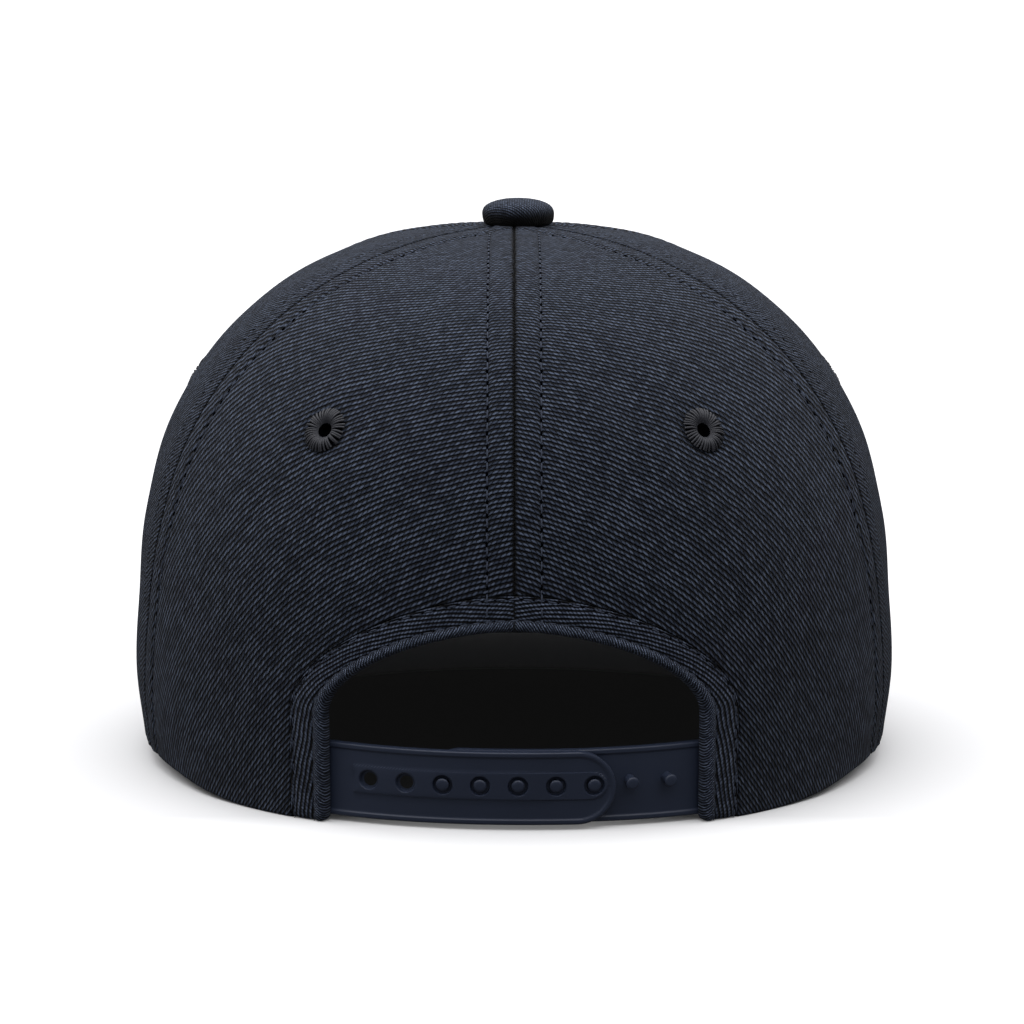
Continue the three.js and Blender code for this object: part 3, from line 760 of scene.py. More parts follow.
def clothMap(mapping, flat, share, hand):    # the ridges fall more steeply away from the centre seam
    if mapping.zone != "back":
        return flat
    distance = flat[:, 0] + mapping.width(share) / 2
    fall = drape["slope"][hand] * distance + drape["turn"] * distance ** 2 / 2
    fall = fall + drape["bend"] * distance ** 3 / 3
    pitch = drape["pitch"] - drape["closer"] * drape["level"]
    fall = (1 - np.exp(-drape["fan"] * fall)) / drape["fan"] / pitch
    fall *= 1 + drape["fan"] * (drape["level"] - flat[:, 1])
    height = -np.log(1 - drape["closer"] / drape["pitch"] * flat[:, 1]) / drape["closer"]
    sag = drape["sag"] * bell(distance, seams["centreBack"]["stitch"], 0.8)
    slope = math.tan(math.radians(clothLook["angle"]))
    return np.stack([flat[:, 0], height + fall - flat[:, 0] * slope + sag], -1)


def panelMesh(zone):
    mapping = PanelMap(zone)
    steps = panelCut["edgeSteps"]
    heights = spread(mapping.rise[-1], (0,), panelCut["rowStep"])
    heights = np.unique(np.concatenate([panelCut["rimSteps"], heights[heights > 1]]))
    places, onFirst, onLast, rows = [], [], [], []
    for row, height in enumerate(heights):
        share = np.interp(height, mapping.rise, mapping.shares)
        width = mapping.width(share)
        across = spread(width, steps, panelCut["columnStep"])
        for column, distance in enumerate(across):
            places.append((mapping.part(share, distance), share))
            onFirst.append(column == 0)
            onLast.append(column == len(across) - 1)
            rows.append(row)
    places, onFirst, onLast, rows = (np.array(v) for v in (places, onFirst, onLast, rows))
    flat = mapping.flat(places[:, 0], places[:, 1])
    seatFlat = mapping.seat()
    keep = np.linalg.norm(flat - seatFlat, axis=1) > eyelet["outer"] + panelCut["eyeletClear"]
    ringPlaces = []
    if zone == "back":
        points = crownPoint(mapping.angle(places[:, 0], places[:, 1]), places[:, 1])
        outside = archDistance(points[:, 0], points[:, 2]) - hem["width"] - hem["gap"]
        ringSteps = [s for s in steps if s < panelCut["archReach"]]
        keep &= outside > ringSteps[-1] + panelCut["archClear"]
        for step in ringSteps:
            line = archLine(hem["width"] + hem["gap"] + step)
            line[:, 0] = np.maximum(line[:, 0], panelCut["seamGap"])
            at = alongLine(line, spread(lineLength(line), steps, panelCut["archStep"]))
            angle, share = backPlace(at[:, 0], at[:, 1])
            share[-1] = 0
            first, last = (np.interp(share, mapping.shares, v) for v in (mapping.first, mapping.last))
            part = np.clip((angle - first) / (last - first), 0, 1)
            part[0] = 0
            ringPlaces.append(np.stack([part, share], -1))
    pieces = [places[keep]]
    offset = int(keep.sum())
    firstIds = [i for i, k in zip(np.cumsum(keep) - 1, keep & onFirst) if k]
    lastIds = [i for i, k in zip(np.cumsum(keep) - 1, keep & onLast) if k]
    bottomIds = [i for i, k in zip(np.cumsum(keep) - 1, keep & (rows == 0)) if k]
    topIds = [i for i, k in zip(np.cumsum(keep) - 1, keep & (rows == rows.max())) if k]
    archIds, ringTops, ringFeet = [], [], []
    for ring, group in enumerate(ringPlaces):
        ids = list(range(offset, offset + len(group)))
        if ring == 0:
            archIds = ids
        ringTops.append(ids[0])
        ringFeet.append(ids[-1])
        pieces.append(group)
        offset += len(group)
    loop = bottomIds + lastIds[1:] + topIds[::-1][1:] + firstIds[::-1][1:]
    loop = ringFeet[1:] + loop + ringTops[::-1][:-1] + archIds if zone == "back" else loop[:-1]
    hole = []
    turn = np.linspace(0, 2 * math.pi, panelCut["ringCount"], endpoint=False)
    for radius in (eyelet["sleeve"] + eyelet["clearance"], *panelCut["eyeletRings"]):
        ring = seatFlat + radius * np.stack([np.cos(turn), np.sin(turn)], -1)
        part, share = mapping.lift(ring)
        pieces.append(np.stack([part, share], -1))
        if not hole:
            hole = list(range(offset, offset + len(ring)))
        offset += len(ring)
    places = np.concatenate(pieces)
    part, share = places[:, 0], places[:, 1]
    flat = mapping.flat(part, share)
    triangles = fillRegion(flat, loop, [hole])
    angle = mapping.angle(part, share)
    point = crownPoint(angle, share)
    depth, creaseShade = panelDepth(mapping, point, share, flat, seatFlat)
    outer = wallPoint(angle, share, depth)
    inner = wallPoint(angle, share, np.full(len(depth), crown["cloth"]))
    return triangles, outer, inner, (mapping, flat, share), creaseShade


def onBothSides(points, side):
    mirrored = np.array(points, float)
    mirrored[..., 0] *= side
    return mirrored


hands = (("Left", -1, "left"), ("Right", 1, "right"))
for zone in panelSeams:
    triangles, outer, inner, laidFlat, creaseShade = panelMesh(zone)
    faces, zones = slabFaces(triangles, len(outer))
    for hand, side, node in hands:
        clothPlace = clothMap(*laidFlat, hand)
        points = onBothSides(np.concatenate([outer, inner]), side)
        shift = np.array([40.0 * side, 17.0 * side])  # no two panels are cut at the same place
        piece = makeObject(
            f"{zone}Panel{hand}", points, faces, [twill, backing],
            uv=np.concatenate([clothPlace, clothPlace]) + shift,
            marks={"creaseShade": np.concatenate([creaseShade, creaseShade])}, zones=zones)
        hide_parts(f"panel_{zone}_{node}")
        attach(piece, "root")
    print("panels made:", zone, len(faces))


# Hem: a folded band round the opening, with a rolled inner edge and two rows of stitches.
def hemDepth(across, along, length):
    outer = rollDepth(hem["width"] - across, hem["seamRoll"]) - hem["proud"]
    rollShare = np.clip(across / hem["innerRow"], 0, 1)
    dome = np.sqrt(np.maximum(1 - (2 * rollShare - 1) ** 2, 0))
    outer -= np.where(across < hem["innerRow"], hem["rollHeight"] * dome, 0)
    outer += rollDepth(across, 1.1) * 1.1
    for row in (hem["innerRow"], hem["outerRow"]):
        outer += hem["dip"] * bell(across, row, hem["dipWidth"])
    outer += rollDepth(along, hem["seamRoll"]) + rollDepth(length - along, hem["footRound"]) * 0.6
    gather = np.sin(2 * math.pi * (along + 0.4 * across) / 2.9 + np.sin(along * 0.3))
    outer += 0.07 * gather * bell(across, 4.4, 2.2)
    # painted shade: darker at the rolled edge's row, where the two halves meet at the top, along the outer
    # edge and at the outer row
    creaseShade = np.maximum(bell(across, hem["innerRow"], 0.28) * 0.6, np.exp(-along / 0.4) * 0.9)
    creaseShade = np.maximum(creaseShade, 0.6 * np.exp(-(hem["width"] - across) / 0.2))
    return outer, np.maximum(creaseShade, 0.35 * bell(across, hem["outerRow"], 0.28))


def hemMesh():
    acrossSteps = np.array(hem["acrossSteps"])
    length = lineLength(archLine(hem["width"] / 2))
    run = spread(length, hem["runSteps"], hem["rowStep"])
    grid = np.zeros((len(run), len(acrossSteps), 2))
    for column, across in enumerate(acrossSteps):
        line = archLine(across)
        line[:, 0] = np.maximum(line[:, 0], panelCut["seamGap"])
        grid[:, column] = alongLine(line, run * lineLength(line) / length)
    foot = np.clip((hem["footRound"] - (length - run)) / hem["footRound"], 0, 1)[:, None]
    middle = acrossSteps[None, :] - hem["width"] / 2
    grid[..., 0] -= np.sign(middle) * np.maximum(np.abs(middle) - 2.2, 0) / 1.6 * 0.75 * foot ** 3
    across = np.broadcast_to(acrossSteps, grid.shape[:2])
    along = np.broadcast_to(run[:, None], grid.shape[:2])
    depth, creaseShade = hemDepth(across, along, length)
    outer = backPoint(grid[..., 0], grid[..., 1], depth)
    inner = backPoint(grid[..., 0], grid[..., 1], np.full(depth.shape, hem["depth"]))
    clothPlace = np.stack([along, across], -1)
    return outer, inner, clothPlace, creaseShade, across


def gridTriangles(rows, columns, flip=False):
    index = np.arange(rows * columns).reshape(rows, columns)
    a, b, c, d = index[:-1, :-1], index[:-1, 1:], index[1:, 1:], index[1:, :-1]
    found = np.concatenate([np.stack([a, b, c], -1).reshape(-1, 3), np.stack([a, c, d], -1).reshape(-1, 3)])
    return found[:, ::-1] if flip else found


def slabPiece(name, triangles, outer, inner, materials, side=1, **looks):
    outer, inner = outer.reshape(-1, 3), inner.reshape(-1, 3)
    faces, zones = slabFaces(triangles, len(outer))
    looks["uv"] = np.concatenate([looks["uv"].reshape(-1, 2)] * 2)
    marks = {key: np.concatenate([value.ravel()] * 2) for key, value in looks.pop("marks", {}).items()}
    zones = looks.pop("zones", lambda found: found)(zones)
    points = onBothSides(np.concatenate([outer, inner]), side)
    return makeObject(name, points, faces, materials, marks=marks, zones=zones, **looks)


outer, inner, clothPlace, creaseShade, across = hemMesh()
hemTriangles = gridTriangles(*across.shape)
rolledFaces = across.ravel()[hemTriangles].mean(axis=1) < hem["innerRow"]


def hemZones(zones):                         # the rolled edge has a coarser cross grain
    zones = np.array(zones)
    zones[:len(rolledFaces)] = np.where(rolledFaces, 1, 0)
    zones[len(rolledFaces):2 * len(rolledFaces)] = 2
    zones[2 * len(rolledFaces):] = 1
    return zones


for hand, side, node in hands:
    piece = slabPiece(
        f"archHem{hand}", hemTriangles, outer, inner, [hemTwill, rollTwill, backing], side,
        uv=clothPlace + 31 * side, marks={"creaseShade": creaseShade}, zones=hemZones)
    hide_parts(f"arch_hem_{node}")
    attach(piece, "root")
print("hem made")


# Geometry Nodes: one stitch laid again and again along a path that carries the cloth's normal.
def newTree(name, inputs):
    tree = bpy.data.node_groups.new(name, "GeometryNodeTree")
    tree.interface.new_socket("Geometry", in_out="INPUT", socket_type="NodeSocketGeometry")
    for label, kind, value in inputs:
        socket = tree.interface.new_socket(label, in_out="INPUT", socket_type=kind)
        socket.default_value = value
    tree.interface.new_socket("Geometry", in_out="OUTPUT", socket_type="NodeSocketGeometry")
    return tree, tree.nodes.new("NodeGroupInput").outputs, tree.nodes.new("NodeGroupOutput").inputs


def vector(tree, **parts):
    return addNode(tree, "ShaderNodeCombineXYZ", parts).outputs[0]


def setMaterial(tree, geometry, material):
    return addNode(tree, "GeometryNodeSetMaterial", {0: geometry, "Material": material}).outputs[0]


def tube(tree, curve, sides, radius, **ends):
    ring = addNode(tree, "GeometryNodeCurvePrimitiveCircle", {"Resolution": sides, "Radius": radius})
    inputs = {"Curve": curve, "Profile Curve": ring.outputs[0], **ends}
    return addNode(tree, "GeometryNodeCurveToMesh", inputs).outputs[0]


def layTurned(tree, points, instance, primary, secondary, seed, bounds):  # each is turned a little
    facing = addNode(tree, "FunctionNodeAxesToRotation", {
        "Primary Axis": primary, "Secondary Axis": secondary}, primary_axis="Z", secondary_axis="X")
    turn = addNode(tree, "FunctionNodeRandomValue", {"Seed": seed}, data_type="FLOAT_VECTOR")
    limits = [socket for socket in turn.inputs if socket.enabled and socket.name in ("Min", "Max")]
    for socket, bound in zip(limits, bounds):
        setSocket(tree, socket, bound)
    turned = next(socket for socket in turn.outputs if socket.enabled)
    spin = addNode(tree, "FunctionNodeEulerToRotation", {0: turned})
    both = addNode(tree, "FunctionNodeRotateRotation", {
        "Rotation": facing.outputs[0], "Rotate By": spin.outputs[0]}, rotation_space="LOCAL")
    return addNode(tree, "GeometryNodeInstanceOnPoints", {
        "Points": points, "Instance": instance, "Rotation": both.outputs[0]}).outputs[0]


def threadShape(tree, given):                # a bent thread whose ends dive into the cloth
    inputs = {"Resolution": 5}
    for label, direction in (("Start", -0.5), ("End", 0.5)):
        reach = calc(tree, "MULTIPLY", given["Stitch length"], direction)
        inputs[label] = vector(tree, X=reach, Z=calc(tree, "MULTIPLY", given["Bulge"], -1.0))
    inputs["Middle"] = vector(tree, Z=calc(tree, "MULTIPLY", given["Bulge"], 1.9))
    arc = addNode(tree, "GeometryNodeCurveQuadraticBezier", inputs)
    return tube(tree, arc.outputs[0], 5, given["Thread radius"], **{"Fill Caps": True})


def stitchAndHole(tree, given):              # painted shade: a near-black needle hole lies after each stitch
    thread = setMaterial(tree, threadShape(tree, given), given["Thread"])
    ball = addNode(tree, "GeometryNodeMeshIcoSphere", {"Radius": given["Hole size"]})
    place = vector(tree, X=calc(tree, "MULTIPLY", given["Stitch pitch"], 0.5),
                   Z=calc(tree, "MULTIPLY", given["Bulge"], 0.15))
    hole = addNode(tree, "GeometryNodeTransform", {
        "Scale": (1.4, 0.75, 0.35), "Geometry": ball.outputs[0], "Translation": place})
    dark = setMaterial(tree, hole.outputs[0], given["Hole"])
    return addNode(tree, "GeometryNodeJoinGeometry", {0: [thread, dark]}).outputs[0]


def makeStitchTree():
    tree, given, result = newTree("stitchRow", [
        ("Stitch pitch", floatKind, 0.003), ("Stitch length", floatKind, 0.0023),
        ("Thread radius", floatKind, 0.0002), ("Bulge", floatKind, 0.0002), ("Hole size", floatKind, 0.0004),
        ("Turn", floatKind, 0.08), ("Seed", "NodeSocketInt", 4),
        ("Thread", "NodeSocketMaterial", None), ("Hole", "NodeSocketMaterial", None)])
    path = addNode(tree, "GeometryNodeMeshToCurve", {"Mesh": given["Geometry"]})
    even = addNode(tree, "GeometryNodeResampleCurve", {
        "Curve": path.outputs[0], "Length": given["Stitch pitch"]}, mode="LENGTH")
    normal = addNode(
        tree, "GeometryNodeInputNamedAttribute", {"Name": "clothNormal"}, data_type="FLOAT_VECTOR")
    tangent = addNode(tree, "GeometryNodeInputTangent")
    bounds = [vector(tree, Z=calc(tree, "MULTIPLY", given["Turn"], sign)) for sign in (-1, 1)]
    laid = layTurned(tree, even.outputs[0], stitchAndHole(tree, given), normal.outputs["Attribute"],
                     tangent.outputs[0], given["Seed"], bounds)
    finishTree(tree, laid, result)
    return tree


def finishTree(tree, geometry, result):
    real = addNode(tree, "GeometryNodeRealizeInstances", {0: geometry})
    smooth = addNode(tree, "GeometryNodeSetShadeSmooth", {0: real.outputs[0]})
    setSocket(tree, result["Geometry"], smooth.outputs[0])


def grow(name, start, tree, values):         # runs a tree on an object and keeps its plain mesh
    modifier = start.modifiers.new("grow", "NODES")
    modifier.node_group = tree
    known = {s.name: s.identifier for s in tree.interface.items_tree if s.in_out == "INPUT"}
    for label, value in values.items():
        modifier[known[label]] = value
    bpy.context.view_layer.update()
    grown = bpy.data.meshes.new_from_object(start.evaluated_get(bpy.context.evaluated_depsgraph_get()))
    grown.name = name
    for attribute in [a.name for a in grown.attributes if a.name == "clothNormal"]:
        grown.attributes.remove(grown.attributes[attribute])
    turnOut(grown)
    start.modifiers.remove(modifier)
    bpy.data.objects.remove(start)
    return addObject(name, grown)


def pathObject(paths):                       # rows of points with normals, as one mesh of loose edges
    points = np.concatenate([p for p, _ in paths])
    normals = np.concatenate([n for _, n in paths])
    edges, start = [], 0
    for line, _ in paths:
        edges += [(start + i, start + i + 1) for i in range(len(line) - 1)]
        start += len(line)
    mesh = bpy.data.meshes.new("stitchPath")
    mesh.from_pydata([tuple(p) for p in toFrame(points)], edges, [])
    attribute = mesh.attributes.new("clothNormal", "FLOAT_VECTOR", "POINT")
    attribute.data.foreach_set("vector", normals.ravel())
    return addObject("stitchPath", mesh)


stitchRow = makeStitchTree()


def sewRows(name, paths, **changes):
    sizes = dict(stitching, **changes)
    piece = grow(name, pathObject(paths), stitchRow, {
        "Stitch pitch": sizes["pitch"] / 1000, "Stitch length": sizes["length"] / 1000,
        "Thread radius": sizes["thread"] / 1000, "Bulge": sizes["bulge"] / 1000,
        "Hole size": sizes["hole"] / 1000, "Turn": sizes["turn"], "Seed": sizes["seed"],
        "Thread": seamThread, "Hole": needleHoleShade})
    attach(piece, "root")
    print("rows sewn:", name, len(piece.data.polygons))
    return piece


def mirroredPath(path, side):
    points, normals = path
    return onBothSides(points, side), onBothSides(normals, side)


def seamRows():                              # both rows of every seam, on the right half of the crown
    paths = []
    for zone in panelSeams:
        mapping = PanelMap(zone)
        for isFirst in (True, False):
            name = mapping.fromSeam if isFirst else mapping.toSeam
            row = seams[name]["stitch"]
            shares = mapping.shares[mapping.width(mapping.shares) > 2 * row + 1.0]
            distance = np.full(len(shares), row) if isFirst else mapping.width(shares) - row
            part = np.array([mapping.part(s, d) for s, d in zip(shares, distance)])
            angle = mapping.angle(part, shares)
            point = crownPoint(angle, shares)
            keep = shares > 0.012
            if zone == "back" and isFirst:
                keep &= archDistance(point[:, 0], point[:, 2]) > hem["width"] + 0.4
            flat = mapping.flat(part, shares)
            depth, _ = panelDepth(mapping, point, shares, flat, mapping.seat())
            laid = wallPoint(angle, shares, depth - 0.03)
            paths.append((laid[keep], crownNormal(angle, shares)[keep]))
    return paths


def hemRows():
    paths = []
    length = lineLength(archLine(hem["width"] / 2))
    for row in (hem["innerRow"], hem["outerRow"]):
        line = archLine(row)
        at = alongLine(line, np.linspace(0.2, lineLength(line) - 1.2, 160))
        along = np.linspace(0.2, length - 1.2, 160)
        depth, _ = hemDepth(np.full(160, row), along, length)
        angle, share = backPlace(at[:, 0], at[:, 1])
        paths.append((wallPoint(angle, share, depth - 0.04), crownNormal(angle, share)))
    x = np.full(14, seams["centreBack"]["stitch"])  # the centre seam's rows run on over the band
    z = np.linspace(arch["height"] + 0.6, arch["height"] + hem["width"] - 0.2, 14)
    distance = archDistance(x, z)
    depth, _ = hemDepth(np.clip(distance, 0, hem["width"]), np.full(14, 6.0), length)
    angle, share = backPlace(x, z)
    keep = (distance > 1.6) & (distance < hem["width"] - 0.1)
    paths.append((wallPoint(angle, share, depth - 0.04)[keep], crownNormal(angle, share)[keep]))
    return paths


rows = seamRows()
sewRows("seamStitches", [mirroredPath(path, side) for path in rows for _, side, _ in hands])
rows = [mirroredPath(path, side) for path in hemRows() for _, side, _ in hands]
sewRows("hemStitches", rows, pitch=2.6, length=1.9, thread=0.17, hole=0.2)


def turnedMesh(profile, count, wobble=None):  # rings about z, closed where the profile ends on it
    profile = np.array(profile, float)
    turn = np.linspace(0, 2 * math.pi, count, endpoint=False)
    points, rings, faces = [], [], []
    for radius, height in profile:
        if radius < 1e-6:
            rings.append([len(points)] * count)
            points.append((0, 0, height))
            continue
        rings.append(list(range(len(points), len(points) + count)))
        reach = radius + (wobble(turn, radius, height) if wobble else 0 * turn)
        points += list(zip(reach * np.cos(turn), reach * np.sin(turn), np.full(count, height)))
    for lower, upper in zip(rings[:-1], rings[1:]):
        for i in range(count):
            j = (i + 1) % count
            face = [lower[i], lower[j], upper[j], upper[i]]
            face = [v for k, v in enumerate(face) if v not in face[:k]]
            if len(face) > 2:
                faces.append(face)
    return np.array(points), faces


def seatMatrix(point, normal):               # a piece turned about z is set on the cloth at this place
    upward = Vector(normal)
    across = Vector((0, 0, 1)).cross(upward)
    across = across.normalized() if across.length > 1e-6 else Vector((1, 0, 0))
    turn = Matrix((across, upward.cross(across), upward)).transposed().to_4x4()
    return Matrix.Translation(Vector(toFrame(np.array(point)))) @ turn @ Matrix.Scale(0.001, 4)


# Eyelets: a worked ring of satin threads over a near-black sleeve, painted shade for the dark inside
def makeEyeletTree():
    tree, given, result = newTree("eyeletThreads", [
        ("Threads", "NodeSocketInt", 46), ("Inner radius", floatKind, 1.7), ("Thread run", floatKind, 3.3),
        ("Crown", floatKind, 1.2), ("Thread radius", floatKind, 0.3), ("Seed", "NodeSocketInt", 2),
        ("Thread", "NodeSocketMaterial", None)])
    middle = vector(tree, X=calc(tree, "MULTIPLY", given["Thread run"], 0.42), Z=given["Crown"])
    arc = addNode(tree, "GeometryNodeCurveQuadraticBezier", {
        "Resolution": 7, "Start": (0, 0, -0.15), "Middle": middle,
        "End": vector(tree, X=given["Thread run"])})
    along = addNode(tree, "GeometryNodeSplineParameter").outputs["Factor"]
    wide = addNode(tree, "GeometryNodeSetCurveRadius", {
        "Curve": arc.outputs[0], "Radius": calc(tree, "MULTIPLY_ADD", along, 0.62, 0.42)})
    thread = tube(tree, wide.outputs[0], 6, given["Thread radius"])
    ring = addNode(tree, "GeometryNodeMeshCircle", {
        "Vertices": given["Threads"], "Radius": given["Inner radius"]})
    outward = addNode(tree, "GeometryNodeInputPosition").outputs[0]
    laid = layTurned(tree, ring.outputs[0], thread, (0, 0, 1), outward, given["Seed"],
                     [(-0.03, -0.06, -0.12), (0.03, 0.06, 0.12)])
    dressed = setMaterial(tree, laid, given["Thread"])
    joined = addNode(tree, "GeometryNodeJoinGeometry", {0: [given["Geometry"], dressed]})
    finishTree(tree, joined.outputs[0], result)
    return tree


eyeletThreads = makeEyeletTree()
sleeveProfile = [
    (1.65, -2.35), (2.3, -2.35), (2.3, 0.08), (4.55, 0.05), (4.6, 0.1), (4.2, 0.2), (3.5, 0.3), (2.9, 0.25),
    (2.3, -0.1), (1.8, -0.7), (1.65, -2.35),
]
for index, zone in enumerate(panelSeams):
    mapping = PanelMap(zone)
    seatAngle = mapping.angle(eyelet["across"][zone], eyelet["level"])
    point, normal = crownPoint(seatAngle, eyelet["level"]), crownNormal(seatAngle, eyelet["level"])
    for hand, side, node in hands:
        points, faces = turnedMesh(sleeveProfile, panelCut["ringCount"])
        mesh = bpy.data.meshes.new("eyeletSleeve")
        mesh.from_pydata([tuple(p) for p in points], [], faces)
        # painted shade: the sleeve is near black
        mesh.materials.append(needleHoleShade)
        start = addObject("eyeletSleeve", mesh)
        piece = grow(f"{zone}Eyelet{hand}", start, eyeletThreads, {
            "Threads": eyelet["threads"], "Inner radius": eyelet["bore"] + eyelet["threadInset"],
            "Thread run": eyelet["outer"] - eyelet["bore"] - eyelet["outerInset"],
            "Crown": eyelet["crownHeight"], "Thread radius": eyelet["threadRadius"],
            "Seed": 3 + index, "Thread": satinThread})
        piece.data.transform(seatMatrix(onBothSides(point, side), onBothSides(normal, side)))
        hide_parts(f"eyelet_{zone}_{node}")
        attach(piece, "root")
print("eyelets made", len(piece.data.polygons))


# Button: cloth gathered over a domed disc and tucked in below, with its shank through the crown
button = {
    "radius": 8.4, "height": 6.0, "base": 122.3, "shank": 1.4, "shankDepth": 2.2, "shift": 0.9,
    "gathers": 9, "gatherDepth": 0.10, "rings": 34, "around": 96, "foot": (3.0, 5.0, 6.6),
    "shape": [
        (0.89, 0.0), (0.94, 0.05), (0.966, 0.12), (0.988, 0.24), (1.0, 0.40), (0.993, 0.52), (0.955, 0.64),
        (0.88, 0.745), (0.76, 0.835), (0.60, 0.91), (0.40, 0.965), (0.20, 0.992), (0.0, 1.0)],
}


def gathers(turn, radius, height):           # the cloth's folds fade towards the top
    fade = (1 - smoothStep(height, 0.3, 4.2)) * (radius > 5)
    wave = np.sin(button["gathers"] * turn + 0.8) + 0.6 * np.sin(2 * button["gathers"] * turn + 2)
    return button["gatherDepth"] * fade * wave


shape = np.array(button["shape"]) * (button["radius"], button["height"])
rimRun = np.linspace(0, lineLength(shape), button["rings"])
fine = alongLine(shape, rimRun)
fine[-1] = (0, button["height"])
below = [(0, -button["shankDepth"]), (button["shank"], -button["shankDepth"]), (button["shank"], 0.0)]
below += [(radius, 0.0) for radius in button["foot"]]
points, faces = turnedMesh(np.concatenate([below, fine]), button["around"], gathers)
fromTop = lineLength(shape) - np.interp(points[:, 2], fine[:, 1], rimRun)
around = np.arctan2(points[:, 1], points[:, 0])
buttonPlace = np.stack([fromTop * np.cos(around), fromTop * np.sin(around)], -1)
# painted shade: the button's lower side is darkened
lowerShade = 1 - smoothStep(points[:, 2], 1.4, 4.8)
points[:, 0] += button["shift"] * (points[:, 2] >= 0)  # it sits a little off the seam
piece = makeObject(
    "topButton", points + (0, 0, button["base"]), faces, [buttonTwill], uv=buttonPlace,
    marks={"creaseShade": lowerShade})
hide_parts("top_button")
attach(piece, "root")
print("button made")


# Sweatband: a soft band inside the rim, from one strap end round to the other
band = {
    "height": 30, "thickness": 1.2, "lift": 1.0, "gap": 0.3, "tab": 12, "tabBlend": 20, "tabLayer": 3.2,
    "columns": 420, "rows": 26, "row": 3.2, "dip": 0.25, "stitchPlaces": 900, "length": 520,
    "lowRows": (0.15, 0.4, 0.8, 2.6, 3.0, 3.4, 3.8), "topRows": (29.2, 29.6, 29.85),
}


def oneMaterial(zones):
    return np.zeros(len(zones), int)


def bandPoint(across, up, out, puff=0.0):
    opening = math.asin((arch["halfWidth"] + hem["width"] / 2) / crown["backReach"])
    angle = -math.pi / 2 + opening + 2 * (math.pi - opening) * across
    tabEnd = arch["halfWidth"] + band["tab"]
    tabShare = 1 - smoothStep(np.abs(np.cos(angle)) * sideReach, tabEnd, tabEnd + band["tabBlend"])
    seat = crown["cloth"] + band["gap"] + np.where(np.sin(angle) < 0, band["tabLayer"] * tabShare, 0)
    height = rimHeight(angle) + band["lift"] + band["height"] * up
    return wallPoint(angle, shareAtHeight(angle, height), seat + band["thickness"] * (1 - out) + puff)


columns = np.linspace(0, 1, band["columns"])[:, None]
rising = np.unique(np.concatenate([
    np.linspace(0, band["height"], band["rows"]), band["lowRows"], band["topRows"]]))
columns, rising = np.broadcast_arrays(columns, rising[None, :])
fromEdge = np.minimum(rising, band["height"] - rising)
puff = 0.16 * np.sin(columns * 190 + 2 * np.sin(columns * 31)) * np.sin(rising * 0.2 + 1)
puff = puff * smoothStep(rising, 2, 9)
puff -= band["dip"] * bell(rising, band["row"], 0.5)
puff -= rollDepth(fromEdge, 0.55)
outer = bandPoint(columns, rising / band["height"], 1.0, rollDepth(fromEdge, 0.5))
inner = bandPoint(columns, rising / band["height"], 0.0, puff)
bandPlace = np.stack([columns * band["length"], rising], -1)
# painted shade: darker along the stitch row
bandRowShade = 0.8 * bell(rising, band["row"], 0.35)
piece = slabPiece(
    "sweatband", gridTriangles(*rising.shape), outer, inner, [bandCloth], uv=bandPlace,
    marks={"creaseShade": bandRowShade}, zones=oneMaterial)
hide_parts("sweatband")
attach(piece, "root")
at = np.linspace(0.004, 0.996, band["stitchPlaces"])
sewn = bandPoint(at, band["row"] / band["height"], 0.0, -band["dip"] + 0.04)
towardHead = -crownNormal(np.arctan2(sewn[:, 1], sewn[:, 0]), np.full(len(at), 0.05))
sewRows("bandStitches", [(sewn, towardHead)], pitch=3.4, length=2.5)
print("sweatband made")


# Peak: two layers, each rolled at its edge, sewn together by rows that follow the edge
peak = {
    "halfWidth": 88, "projection": 70, "root": 22, "roundness": 2.4, "gap": 0.3, "columns": 240, "rows": 90,
    "firstRow": 4.5, "rowGap": 5.5, "rowCount": 8, "dip": 0.28, "dipWidth": 0.75,
}
peakLayers = {"upper": (0.0, 1.9), "under": (2.2, 1.5)}  # depth below the rim, and thickness


def peakPlan(across, forward):
    spreadAngle = 180 - 2 * peak["root"]
    rootAngle = np.radians(180 - peak["root"] - spreadAngle * across)
    root = wallPoint(rootAngle, np.zeros(np.shape(across)), crown["cloth"])
    rootEnd = crown["frontReach"] * math.sin(math.radians(peak["root"])) + peak["gap"]
    turn = math.pi * (1 - across)
    power = 2 / peak["roundness"]
    edgeX = peak["halfWidth"] * np.sign(np.cos(turn)) * np.abs(np.cos(turn)) ** power
    reach = crown["frontReach"] + peak["projection"] - rootEnd
    edgeY = rootEnd + reach * np.maximum(np.sin(turn), 0) ** power
    x = root[..., 0] + (edgeX - root[..., 0]) * forward
    y = root[..., 1] + (edgeY - root[..., 1]) * forward
    return np.stack([x, y], -1)


def edgeDistance(plan):                      # from a place on the peak to its outer edge
    edge = peakPlan(np.linspace(0, 1, 500), np.ones(500))
    flat = plan.reshape(-1, 2)
    found = np.empty(len(flat))
    for start in range(0, len(flat), 4000):
        part = flat[start:start + 4000]
        found[start:start + 4000] = np.sqrt(((part[:, None] - edge[None]) ** 2).sum(-1)).min(axis=1)
    return found.reshape(plan.shape[:-1])


